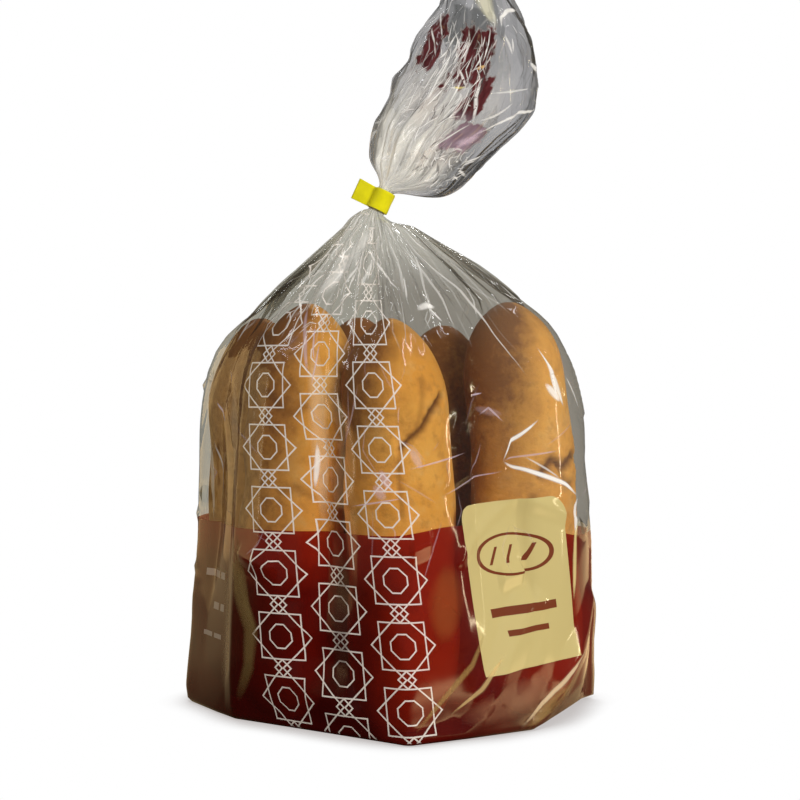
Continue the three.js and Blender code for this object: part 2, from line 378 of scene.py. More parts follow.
class Film:
    """A closed film: rows of points, how far round each column lies and how far along each row."""

    def __init__(self, points, across, along):
        self.points = points
        self.across = across - across[0]
        self.start = across[0]
        self.along = along
        closed = np.concatenate([points, points[:, :1]], 1)
        ahead = np.roll(points, -1, 1) - np.roll(points, 1, 1)
        normals = np.cross(ahead, np.gradient(points, axis=0))
        normals /= np.maximum(np.linalg.norm(normals, axis=2, keepdims=True), 1e-9)
        self.layers = np.concatenate([closed, np.concatenate([normals, normals[:, :1]], 1)], 2)
        round_rows = np.linalg.norm(np.diff(closed, axis=1), axis=2).sum(1)
        self.stretch = round_rows / self.across[-1]

    def build(self, name):
        """The film as a mesh object whose UVs are millimetres round and along it, in metres."""
        rows, around = self.points.shape[:2]
        r, s = np.meshgrid(np.arange(rows - 1), np.arange(around), indexing="ij")
        low, high = self.along[r], self.along[r + 1]
        left, right = self.across[s] + self.start, self.across[s + 1] + self.start
        corners = [(left, low), (right, low), (right, high), (left, high)]
        uv = np.stack([np.stack(c, -1) for c in corners], 2).reshape(-1, 2) * MM
        return add_mesh(name, self.points.reshape(-1, 3), grid_faces(rows, around), uv)

    def at(self, u, v):
        """Points of the film and the way out of it at places round and along it."""
        u = (u - self.start) % self.across[-1]
        j = np.clip(np.searchsorted(self.across, u, side="right") - 1, 0, len(self.across) - 2)
        i = np.clip(np.searchsorted(self.along, v, side="right") - 1, 0, len(self.along) - 2)
        s = ((u - self.across[j]) / (self.across[j + 1] - self.across[j]))[:, None]
        t = ((v - self.along[i]) / (self.along[i + 1] - self.along[i]))[:, None]
        low = lerp(self.layers[i, j], self.layers[i, j + 1], s)
        high = lerp(self.layers[i + 1, j], self.layers[i + 1, j + 1], s)
        both = lerp(low, high, np.clip(t, 0, 1))
        return both[:, :3], both[:, 3:]


STRIP_STEP = 1.2
STRIP_LIFT = 0.12
# Edges of a strip: place across it, and how much of its strength shows there
STRIP_SIDES = [(-1, 0), (-0.4, 1), (0.4, 1), (1, 0)]
# How much a stroke bends, in degrees
STROKE_BEND = 12


def add_strips(name, film, strokes):
    """Narrow strips lying on a film, one for each stroke, that fade out at their edges and ends."""
    points, faces, strength, tints = [], [], [], []
    first = 0
    for path, half_width, strong, tint in strokes:
        path = np.array(path, float)
        reached = np.concatenate([[0], np.cumsum(np.hypot(*np.diff(path, axis=0).T))])
        steps = max(4, int(reached[-1] / STRIP_STEP) + 2)
        way = np.linspace(0, reached[-1], steps)
        middle = np.stack([np.interp(way, reached, path[:, k]) for k in (0, 1)], -1)
        stretch = np.maximum(np.interp(middle[:, 1], film.along, film.stretch), 0.05)
        run = np.gradient(middle, axis=0) * np.stack([stretch, np.ones(steps)], -1)
        run /= np.linalg.norm(run, axis=1, keepdims=True)
        aside = np.stack([-run[:, 1] / stretch, run[:, 0]], -1)
        share = way / reached[-1]
        bulge = np.sin(math.pi * share)
        ends = np.clip(5 * np.minimum(share, 1 - share), 0, 1)
        for side, shown in STRIP_SIDES:
            place = middle + aside * (side * half_width * (0.3 + 0.7 * bulge))[:, None]
            on_film, out = film.at(place[:, 0], place[:, 1])
            points.append(on_film + STRIP_LIFT * out)
            strength.append(shown * strong * ends)
            tints.append(np.tile((*tint, 1), (steps, 1)))
        for k in range(len(STRIP_SIDES) - 1):
            a = first + k * steps + np.arange(steps - 1)
            faces.append(np.stack([a, a + 1, a + steps + 1, a + steps], -1))
        first += len(STRIP_SIDES) * steps
    strips = add_mesh(name, np.concatenate(points), np.concatenate(faces).tolist())
    add_layer(strips, "strength", np.concatenate(strength))
    add_layer(strips, "tint", np.concatenate(tints), "FLOAT_COLOR", "color")
    return strips


def scatter(rng, bunches):
    """Straight and slightly bent strokes at random in each bunch."""
    strokes = []
    for middle, reach, count, lengths, half_widths, strengths, lean, spread, tint in bunches:
        for _ in range(count):
            u = middle[0] + reach[0] * rng.uniform(-1, 1)
            v = middle[1] + reach[1] * rng.uniform(-1, 1)
            half = rng.uniform(*lengths) / 2
            angle = math.radians(lean + spread * rng.normal())
            bend = math.radians(STROKE_BEND * rng.normal())
            path = [
                (u - half * math.sin(angle - bend), v - half * math.cos(angle - bend)),
                (u, v),
                (u + half * math.sin(angle + bend), v + half * math.cos(angle + bend)),
            ]
            strong = rng.uniform(*strengths)
            strokes.append((path, rng.uniform(*half_widths), strong, tint))
    return strokes


# Body of the bag
THETA = directions_from_behind(BODY_AROUND)
FRONT = -math.pi / 2
GIRTH_LEVEL = 60


def girth_lengths():
    """Distance round the film from the front, for each direction and once more at the seam behind."""
    closed = np.append(THETA, THETA[0] + TURN)
    radius = np.append(taut_radii(THETA, GIRTH_LEVEL), taut_radii(THETA[:1], GIRTH_LEVEL))
    x, y = radius * np.cos(closed), radius * np.sin(closed)
    length = np.concatenate([[0], np.cumsum(np.hypot(np.diff(x), np.diff(y)))])
    return length - np.interp(FRONT, closed, length)


LENGTHS = girth_lengths()
GIRTH = LENGTHS[-1] - LENGTHS[0]


# Where the film lies flat: direction in degrees, height, and half the reach of both
FLAT_PLACES = [(-168, 50, 16, 70), (-43, 58, 17, 40)]


def calmness(theta, z):
    """How much the film's wrinkles are pulled out, from 0 to 1."""
    out = np.zeros(theta.shape)
    for angle, height, wide, tall in FLAT_PLACES:
        away = np.hypot(wrap_degrees(np.degrees(theta) - angle) / wide, (z - height) / tall)
        out = np.maximum(out, 0.85 * (1 - smoothstep(away, 0.7, 1.3)))
    return out


def body_heights():
    """Heights of the film's rows, closer together in the gathered part."""
    low = np.linspace(0, 1, LOW_ROWS, endpoint=False)
    high = np.linspace(0, 1, BODY_ALONG - LOW_ROWS)
    return np.concatenate([lerp(BASE_EDGE, GATHER_START, low), lerp(GATHER_START, NECK_LOW_Z, high)])


def body_wrinkles(theta, z, taut, loose, squeeze):
    """Creases and crumpled facets, fewer where rolls hold the film and where it lies flat."""
    across = np.broadcast_to(LENGTHS[:-1] - LENGTHS[0], taut.shape)
    long_ones = crinkles(across, z, GIRTH, seed=4, count=70, length=60, width=3, height=0.7, spread=0.35)
    short_ones = crinkles(across, z, GIRTH, seed=9, count=90, length=22, width=2.4, height=0.4, spread=0.9)
    coarse = facets(across, z, GIRTH, seed=4, count=5, finest=26, height=1.1)
    room = smoothstep(z, 0, 8) * (1 - 0.8 * squeeze) * np.minimum(1, taut / 40)
    sharp = lerp(0.12, 1, smoothstep(z, 130, 185))
    wrinkles = room * (long_ones + short_ones) * sharp * lerp(0.3, 1, loose) + room * coarse * loose
    return wrinkles * (1 - calmness(theta, z))


def body_rings(heights):
    """Rings from the base to the neck: the taut film, less its slack, with its folds and wrinkles."""
    taut = np.array([taut_radii(THETA, z) for z in heights])
    inner = np.array([roll_radius_at(THETA, z) for z in heights])
    theta, z = np.broadcast_to(THETA, taut.shape), np.broadcast_to(heights[:, None], taut.shape)
    gap = np.maximum(0, taut - inner)
    slack_room = smoothstep(z, *SLACK_START) * (1 - smoothstep(z, *SLACK_FADE))
    slack = np.minimum(SLACK_LIMIT, SLACK_SHARE * gap) * slack_room
    gather = smoothstep(z, GATHER_START, SHOULDER_TOP)
    squeeze = smoothstep(z, SHOULDER_TOP, NECK_LOW_Z)
    depth = lerp(GATHER_DEPTH * taut * gather**1.5, NECK_PLEAT, squeeze**2)
    pleats = np.minimum(depth, 0.3 + 0.6 * gap) * (0.25 - (1 - pleat_wave(theta, z)))
    relief = crease_height(theta, z, taut) * smoothstep(z, 0, 8) + fin_height(theta, z)
    wrinkles = body_wrinkles(theta, z, taut, smoothstep(gap, 0.5, 9), squeeze)
    radius = taut - slack + relief + pleats + wrinkles
    tilt = NECK_TILT * smoothstep(z, TILT_START, NECK_LOW_Z)
    return ring_points(*body_middle(z), z, tilt, theta, radius, radius)


def base_rings(shares):
    """The folded underside, from near its middle out to its edge."""
    x, y = body_middle(0)
    foot = taut_radii(THETA, 0) - BASE_EDGE
    rings = []
    for share in shares:
        out = foot * share
        lift = 0.5 * ridge(2 * THETA / TURN + 0.1) * (1 - share) * share * 4
        rings.append(np.stack([x + out * np.cos(THETA), y + out * np.sin(THETA), lift], -1))
    return rings


def neck_rings():
    """The squeezed film inside the tape."""
    squeezed = NECK_RADIUS + NECK_PLEAT * (pleat_wave(THETA, NECK_LOW_Z) - 0.88)
    rings = []
    for share in np.linspace(0.12, 1, NECK_RINGS):
        x, z = lerp(NECK_LOW_X, NECK_HIGH_X, share), lerp(NECK_LOW_Z, NECK_HIGH_Z, share)
        rings.append(ring_points(x, 0, z, NECK_TILT, THETA, squeezed, squeezed))
    return rings


# How far the printing's places run on under the base and into the neck
UNDER_BASE = 60
INTO_NECK = (1, 10)


def body_film():
    heights = body_heights()
    shares = np.linspace(0.02, 1, BASE_RINGS)
    points = np.concatenate([base_rings(shares), body_rings(heights), neck_rings()])
    neck = NECK_LOW_Z + np.linspace(*INTO_NECK, NECK_RINGS)
    return Film(points, LENGTHS, np.concatenate([(shares - 1) * UNDER_BASE, heights, neck]))


# Tail of the bag
def smooth_path(stations, at):
    """A smooth curve through the stations, at shares from 0 to 1."""
    s = np.asarray(stations, float)
    ends = np.concatenate([[2 * s[0] - s[1]], s, [2 * s[-1] - s[-2]]])
    place = np.clip(at, 0, 1) * (len(s) - 1)
    i = np.minimum(place.astype(int), len(s) - 2)
    t = (place - i)[:, None]
    a, b, c, d = ends[i], ends[i + 1], ends[i + 2], ends[i + 3]
    return 0.5 * (2 * b + (c - a) * t + (2 * a - 5 * b + 4 * c - d) * t**2
                  + (3 * b - a - 3 * c + d) * t**3)


def tail_stations():
    """Middle as x and z, tilt in degrees, half width and half depth, from inside the tape up."""
    stations = [
        (NECK_LOW_X, NECK_LOW_Z, math.degrees(NECK_TILT), NECK_RADIUS, NECK_RADIUS),
        (NECK_HIGH_X, NECK_HIGH_Z, NECK_TOP_TILT, NECK_RADIUS, NECK_RADIUS),
    ]
    for (left_x, left_z), (right_x, right_z), half_depth in TAIL_SECTIONS:
        across, drop = right_x - left_x, left_z - right_z
        tilt, half_width = math.degrees(math.atan2(drop, across)), math.hypot(across, drop) / 2
        stations.append(((left_x + right_x) / 2, (left_z + right_z) / 2, tilt, half_width, half_depth))
    return stations


def tail_wrinkles(across, along):
    coarse = facets(across, along, TAIL_GIRTH, seed=21, count=6, finest=17, height=1.5)
    long_ones = crinkles(across, along, TAIL_GIRTH, seed=31, count=120, length=42,
                         width=1.1, height=1.1, spread=0.16)
    short_ones = crinkles(across, along, TAIL_GIRTH, seed=32, count=150, length=14,
                          width=0.9, height=0.8, spread=1)
    return coarse + long_ones + short_ones


def tail_film():
    stations = tail_stations()
    shares = np.linspace(0, 1, TAIL_ALONG)
    first = 1 / (len(stations) - 1)
    path = smooth_path(stations, lerp(first * 0.3, 1, shares))
    x, z, tilt, wide, deep = (path[:, k : k + 1] for k in range(5))
    theta = np.broadcast_to(directions_from_behind(TAIL_AROUND), (TAIL_ALONG, TAIL_AROUND))
    share = shares[:, None]
    opened = smoothstep(share, 0.1, 0.45)
    lump = 0.05 * np.sin(3 * theta + 7 * share) + 0.04 * np.sin(2 * theta - 9 * share + 1)
    swell = 1 + lump * opened
    room = np.minimum(wide, 2.2 * deep)
    fan = 1 - smoothstep(share, 0.2, 0.6)
    pleat_depth = lerp(0.3, GATHER_DEPTH * room, smoothstep(share, 0.08, 0.3)) * lerp(0.12, 1, fan)
    pleats = pleat_depth * (pleat_wave(theta, 200 + 140 * share) - 0.85)
    across = (theta - theta[0, 0]) / TURN * TAIL_GIRTH
    relief = pleats + opened * tail_wrinkles(across, share * TAIL_LENGTH + 0 * theta)
    rings = ring_points(x, 0, z, np.radians(tilt), theta, wide * swell + relief, deep * swell + relief)
    return Film(rings, np.linspace(0, TAIL_GIRTH, TAIL_AROUND + 1), shares * TAIL_LENGTH)


# Painted highlights, reflections and shade on the film: points round and along the film in millimetres,
# half width, strength and tint
WHITE = (1, 1, 1)
CREAM = (0.80, 0.78, 0.60)
GOLD = (0.80, 0.52, 0.20)
LILAC = (0.80, 0.66, 0.80)
DARK = (0.10, 0.09, 0.09)
OLIVE = (0.20, 0.135, 0.045)
BRONZE = (0.45, 0.30, 0.10)
# Painted light on the body film: white and lilac highlights, golden, bronze and olive reflections, and
# dark painted shade
BODY_PAINTED_LIGHT = [
    ([(81, 156), (85, 134)], 0.9, 0.9, WHITE),
    ([(83, 146), (88, 131)], 1.1, 0.8, WHITE),
    ([(75.6, 126), (66, 117), (61.2, 109)], 0.9, 1, WHITE),
    ([(61.2, 109), (75.6, 103), (86, 99), (94.4, 93)], 1.3, 1, WHITE),
    ([(61.2, 109), (69.5, 111), (83.8, 113)], 0.6, 0.4, LILAC),
    ([(69.5, 111), (83.8, 101)], 0.6, 0.5, WHITE),
    ([(92, 144), (103.8, 130)], 0.8, 0.7, WHITE),
    ([(94.4, 93), (89, 86), (91.6, 77)], 1.3, 0.9, WHITE),
    ([(44.3, 136), (51.5, 137)], 0.5, 0.6, LILAC),
    ([(50, 128), (55, 131), (63, 125)], 0.7, 0.4, LILAC),
    ([(-98, 133), (-88, 124)], 0.7, 0.6, LILAC),
    ([(-98, 116), (-91.8, 92)], 0.6, 0.4, WHITE),
    ([(-10.7, 199), (21.6, 179)], 0.9, 0.85, WHITE),
    ([(26.4, 186), (23.6, 175)], 0.7, 0.6, WHITE),
    ([(28, 171), (33, 173), (38, 172)], 1.7, 0.9, WHITE),
    ([(34, 172), (39, 166)], 0.6, 0.8, WHITE),
    ([(-25.3, 180), (-14.7, 195)], 0.7, 0.6, WHITE),
    ([(42.5, 205), (32.8, 166)], 0.6, 0.5, WHITE),
    ([(45.7, 208), (61.6, 170), (72.2, 144)], 0.6, 0.5, WHITE),
    ([(-53.7, 186), (-53.4, 159)], 0.7, 0.4, WHITE),
    ([(-36, 165), (-33, 150)], 0.6, 0.5, LILAC),
    ([(-31, 158), (-33, 140)], 0.6, 0.5, LILAC),
    ([(13, 116), (18, 107)], 2.4, 0.3, LILAC),
    ([(-3, 101), (2, 95)], 3, 0.35, LILAC),
    ([(26, 96), (48, 103), (62, 105)], 0.5, 0.4, LILAC),
    ([(11, 5), (23, 17), (36, 29), (44, 42)], 1.6, 0.5, BRONZE),
    ([(30, 8), (47, 12), (61.6, 15), (75.6, 20)], 8, 0.3, (0.42, 0.19, 0.11)),
    ([(55.3, 2), (73.3, 8), (89.2, 17), (95, 25)], 6, 0.3, (0.50, 0.30, 0.12)),
    ([(28, 70), (26, 56), (24, 38)], 9, 0.22, (0.50, 0.18, 0.04)),
    ([(26, 10), (38.6, 19), (50.6, 32)], 1.1, 0.6, (0.75, 0.55, 0.25)),
    ([(-82, 66), (-78.3, 50), (-78.3, 29), (-82, 11)], 5, 0.22, (0.40, 0.27, 0.15)),
    ([(56, 2), (70, 11), (85.5, 23), (93, 30)], 1.3, 0.8, (0.85, 0.68, 0.45)),
    ([(58, 1), (72, 8), (88, 19)], 3, 0.35, BRONZE),
    ([(-72.5, 79), (-67.3, 55), (-60.6, 40), (-61.8, 25), (-70, 9)], 4.5, 0.6, OLIVE),
    ([(-69, 79), (-63, 50), (-57, 36)], 2.5, 0.5, OLIVE),
    ([(-34.3, 160), (-29.4, 134), (-30.2, 114), (-29.7, 82)], 5, 0.26, (1, 0.82, 0.62)),
    ([(-32.2, 117), (-33.2, 98)], 1.4, 0.75, WHITE),
    ([(-18.6, 74), (-19.4, 45), (-19.1, 12)], 5, 0.5, (0.05, 0.008, 0.006)),
    ([(-8, 210), (-31, 192), (-40, 175)], 7, 0.32, WHITE),
    ([(-16, 206), (-36, 183), (-54, 167)], 3, 0.3, WHITE),
    ([(19, 206), (25, 192), (22.6, 175)], 1.2, 0.4, WHITE),
    ([(8.7, 206), (-3.5, 192), (-16.8, 175)], 1.6, 0.4, WHITE),
    ([(34, 204), (43, 175), (44, 160)], 0.8, 0.4, WHITE),
    ([(-99, 118), (-100.6, 81)], 1, 0.35, (0.9, 0.85, 0.7)),
    ([(-47.8, 175), (-39, 158), (-34.8, 144)], 1.2, 0.4, LILAC),
    ([(47, 131), (63, 128)], 2, 0.14, LILAC),
    ([(79.9, 141), (86.3, 133)], 2, 0.8, WHITE),
    ([(-14, 92), (10, 96)], 0.5, 0.5, LILAC),
    ([(11.6, 107), (41.4, 113)], 0.5, 0.45, LILAC),
    ([(0, 107), (4, 99)], 2.4, 0.4, LILAC),
    ([(-83, 145), (-75, 117), (-70.6, 84)], 4, 0.16, (0.9, 0.8, 0.62)),
    ([(91.7, 84), (89.6, 67), (88, 50)], 1.6, 0.75, (0.90, 0.80, 0.36)),
]
# Bunches of painted highlights and shade at random: middle, reach, count, then from least to most the
# length, the half width and the strength, then the lean and its spread in degrees, and the tint
BODY_PAINTED_LIGHT_BUNCHES = [
    ((0, 205), (245, 9), 130, (4, 14), (0.2, 0.4), (0.15, 0.6), 0, 20, WHITE),
    ((0, 182), (245, 22), 120, (10, 40), (0.25, 0.5), (0.08, 0.35), 0, 14, WHITE),
    ((-20, 185), (40, 22), 70, (3, 12), (0.25, 0.5), (0.3, 0.9), 10, 35, WHITE),
    ((0, 115), (245, 45), 70, (5, 28), (0.25, 0.5), (0.1, 0.3), 0, 35, LILAC),
    ((0, 190), (245, 20), 60, (8, 30), (0.3, 0.7), (0.15, 0.4), 0, 10, DARK),
]
# Painted highlights, reflections and shade on the tail film
TAIL_PAINTED_LIGHT = [
    ([(108, 52), (113, 55), (118.5, 61)], 0.6, 0.7, WHITE),
    ([(112, 48), (118, 54), (124.6, 59), (138, 62)], 0.7, 0.9, WHITE),
    ([(105, 61), (127, 67)], 0.4, 0.5, WHITE),
    ([(106.6, 85.8), (108.7, 91), (117.4, 94.6), (132, 96)], 1, 0.95, WHITE),
    ([(108, 84), (111, 79), (113, 76)], 0.6, 0.7, WHITE),
    ([(124, 75), (134, 73)], 1.2, 0.8, WHITE),
    ([(131, 68), (138, 62)], 0.9, 0.9, WHITE),
    ([(62.5, 92), (73.4, 77.5)], 0.5, 0.8, WHITE),
    ([(106.6, 51), (99.8, 38.4)], 0.6, 0.9, WHITE),
    ([(98.4, 58.6), (101.6, 50.6)], 0.5, 0.9, WHITE),
    ([(99.5, 66), (100.8, 59), (106.6, 51)], 0.8, 0.95, WHITE),
    ([(79.2, 72), (80, 62), (82.3, 52)], 0.6, 0.9, WHITE),
    ([(71, 59.4), (77, 47)], 0.5, 0.6, WHITE),
    ([(90.8, 64), (91.6, 52)], 0.6, 0.9, WHITE),
    ([(62, 84), (72.8, 70)], 0.5, 0.8, WHITE),
    ([(80.5, 80), (74.4, 69)], 0.5, 0.9, WHITE),
    ([(87.3, 67.4), (95, 61)], 0.6, 0.9, WHITE),
    ([(72, 26), (75, 29), (80, 30)], 0.9, 0.9, WHITE),
    ([(104, 36), (112, 41)], 0.5, 0.6, WHITE),
    ([(123, 37), (136, 36)], 0.7, 0.7, WHITE),
    ([(112, 83), (113, 77)], 0.5, 0.6, WHITE),
    ([(98, 112), (98, 99), (103, 86)], 4.5, 0.75, CREAM),
    ([(96, 68), (100, 70)], 0.9, 0.8, GOLD),
    ([(89, 60), (95, 61)], 0.6, 0.7, (0.85, 0.75, 0.25)),
    ([(108, 44), (116, 48)], 2.2, 0.5, LILAC),
    ([(110, 41), (114, 52)], 1.4, 0.4, LILAC),
]
# Bunches of painted highlights and dark painted shade on the tail
TAIL_PAINTED_LIGHT_BUNCHES = [
    ((87, 58), (13, 22), 130, (4, 15), (0.15, 0.38), (0.2, 0.95), 0, 15, WHITE),
    ((84, 60), (18, 20), 110, (2, 7), (0.15, 0.35), (0.2, 0.8), 0, 45, WHITE),
    ((88, 24), (24, 20), 110, (3, 12), (0.15, 0.4), (0.1, 0.45), 0, 20, WHITE),
    ((112, 34), (16, 9), 90, (2, 7), (0.2, 0.5), (0.2, 0.9), 30, 60, WHITE),
    ((112, 33), (18, 9), 60, (3, 8), (0.3, 0.8), (0.2, 0.6), 20, 50, DARK),
    ((90, 64), (12, 16), 50, (3, 9), (0.2, 0.6), (0.2, 0.7), 0, 20, DARK),
    ((90, 100), (40, 17), 50, (3, 12), (0.2, 0.5), (0.15, 0.6), 10, 40, WHITE),
    ((60, 55), (10, 45), 40, (6, 24), (0.2, 0.5), (0.15, 0.5), 5, 12, WHITE),
    ((0, 60), (45, 56), 170, (4, 18), (0.2, 0.5), (0.1, 0.5), 0, 22, WHITE),
]


# Rolls
def polyline_distance(x, y, points):
    best = np.full(x.shape, np.inf)
    for (ax, ay), (bx, by) in zip(points[:-1], points[1:]):
        dx, dy = bx - ax, by - ay
        t = np.clip(((x - ax) * dx + (y - ay) * dy) / (dx * dx + dy * dy), 0, 1)
        best = np.minimum(best, np.hypot(x - ax - t * dx, y - ay - t * dy))
    return best


def roll_dents(rng, theta, z):
    """Soft lumps round a roll and waves along it."""
    lumps = 0
    for order in (1, 2, 3):
        phase, drift = rng.uniform(0, TURN), rng.uniform(-0.03, 0.03)
        lumps = lumps + np.sin(order * theta + phase + drift * z) / order
    waves = 0
    for _ in range(3):
        phase, wave = rng.uniform(0, TURN), rng.uniform(30, 70)
        waves = waves + np.sin(z / wave * TURN + phase + rng.uniform(0.5, 1.5) * np.sin(theta + phase))
    return 0.5 * (lumps - 1.8) + 0.35 * (waves - 3)


def roll_cracks(name, theta, z):
    """Height of the cracks and wrinkles in a crust, and how much shade is painted in its cracks, from 0 to
    1.
    """
    turned = np.radians(wrap_degrees(np.degrees(theta))) * ROLL_RADIUS
    cracks, crack_shade = 0, 0 * theta + 0 * z
    for path, depth, width in CRACKS.get(name, []):
        arc = [(math.radians(angle) * ROLL_RADIUS, height) for angle, height in path]
        away = polyline_distance(turned + 0 * z, z + 0 * theta, arc)
        away = away * (1 + 0.35 * np.sin(z * 0.9 + 3 * theta) * np.sin(11 * theta + 0.4 * z))
        inside = np.exp(-((away / width) ** 2) * 2)
        cracks = cracks - depth * inside
        if depth > 0:
            crack_shade = np.maximum(crack_shade, inside * min(1, depth / DARKEST_CRACK_DEPTH))
        cracks = cracks + 0.25 * depth * np.exp(-(((away - 4.5) / 2.5) ** 2))
    return np.minimum(cracks, CRACK_LIP), crack_shade


def roll_bake_and_shade(roll, theta, z):
    """How dark a crust is: browned towards its top, with painted shade on one side."""
    darkest, amount, base, low = BAKE_AND_SHADE_SIDES[roll["name"]]
    side = smoothstep(np.cos(theta - math.radians(darkest)), -0.4, 0.9)
    share = z / roll["height"]
    bake_and_shade = base + amount * side * lerp(low, 1, smoothstep(share, 0.45, 0.9))
    return bake_and_shade + TOP_BAKED * smoothstep(share, 0.86, 1)


def make_roll(roll, seed):
    bend = np.linspace(0, 1, ROLL_ALONG)
    z = roll["height"] * (0.5 - 0.5 * np.cos(math.pi * (0.02 + 0.98 * bend)))
    z = np.clip(z - 0.2, 0.5, roll["height"] - 0.05)[:, None]
    theta = np.arange(ROLL_AROUND)[None] / ROLL_AROUND * TURN
    x, y, radius = roll_section(roll, z)
    radius = np.maximum(radius - ROLL_CLEARANCE * np.minimum(1, radius / 8), 0.2)
    dents = roll_dents(np.random.default_rng(seed), theta, z)
    cracks, crack_shade = roll_cracks(roll["name"], theta, z)
    full = radius + (dents + cracks) * np.minimum(1, radius / 12)
    points = np.stack([x + full * np.cos(theta), y + full * np.sin(theta), z + 0 * full], -1)
    faces = grid_faces(ROLL_ALONG, ROLL_AROUND)
    last = (ROLL_ALONG - 1) * ROLL_AROUND
    faces += [list(range(ROLL_AROUND))[::-1], list(range(last, last + ROLL_AROUND))]
    obj = add_mesh("roll_" + roll["name"], points.reshape(-1, 3), faces)
    # The crust's browning, with painted shade on one side
    add_layer(obj, "bake_and_shade", roll_bake_and_shade(roll, theta, z))
    # How much shade is painted in the crust's cracks
    add_layer(obj, "crack_shade", crack_shade)
    return obj


# Tape round the neck
TAPE_WIDTH = 9
TAPE_INNER = 4.25
TAPE_THICKNESS = 0.7
TAPE_OUTER = TAPE_INNER + TAPE_THICKNESS
FLAG_LENGTH = 7.5
FLAG_THICKNESS = 0.9
TAPE_ROWS = 15
BAND_STEPS = 61
FLAG_STEPS = 14


def tape_outline():
    """The band and the flag of its two ends stuck together, seen along the neck."""
    half = FLAG_THICKNESS / 2
    start = math.pi - math.asin(half / TAPE_OUTER)
    turns = np.linspace(-start, start, BAND_STEPS)
    band = [(TAPE_OUTER * math.cos(a), TAPE_OUTER * math.sin(a)) for a in turns]
    tip = -TAPE_OUTER - FLAG_LENGTH
    steps = np.linspace(0, 1, FLAG_STEPS)[1:]
    upper = [(lerp(band[-1][0], tip, t), half) for t in steps]
    lower = [(lerp(tip, band[0][0], t), -half) for t in steps[:-1]]
    return np.array(band + upper + [(tip - 0.25, 0), (tip, -half)] + lower)


def tape_ring(outline, t):
    """The outline at t from -1 at the tape's lower edge to 1 at its upper edge."""
    ring = outline.copy()
    reach = np.clip((-ring[:, 0] - TAPE_OUTER) / FLAG_LENGTH, 0, 1)
    ring[reach <= 0] *= (1 - 0.05 * (1 - t * t)) * (1 - 0.05 * t**6)
    ring[:, 1] += 1.3 * reach**2 + 0.3 * np.sin(3.2 * reach + 1.4 * t) * reach
    height = t * TAPE_WIDTH / 2 * (1 + 0.04 * reach) + 0.5 * reach * np.sin(2 * reach)
    return np.column_stack([ring, height])


def make_tape():
    """The outer rings from the lower edge up, then down through the hole and closed."""
    outline = tape_outline()
    outer = [tape_ring(outline, t) for t in np.linspace(-1, 1, TAPE_ROWS)]
    angles = np.arctan2(outline[:, 1], outline[:, 0])
    hole = TAPE_INNER * np.column_stack([np.cos(angles), np.sin(angles)])
    inner = [np.column_stack([hole, np.full(len(hole), t * TAPE_WIDTH / 2)]) for t in (1, -1)]
    points = np.array(outer + inner + outer[:1])
    tape = add_mesh("neck_tape_band", points.reshape(-1, 3), grid_faces(len(points), len(outline)))
    tilt = Matrix.Rotation(NECK_TILT, 4, "Y")
    tape.data.transform(Matrix.Translation(Vector((NECK_X, 0, NECK_Z)) * MM) @ tilt)
    return tape


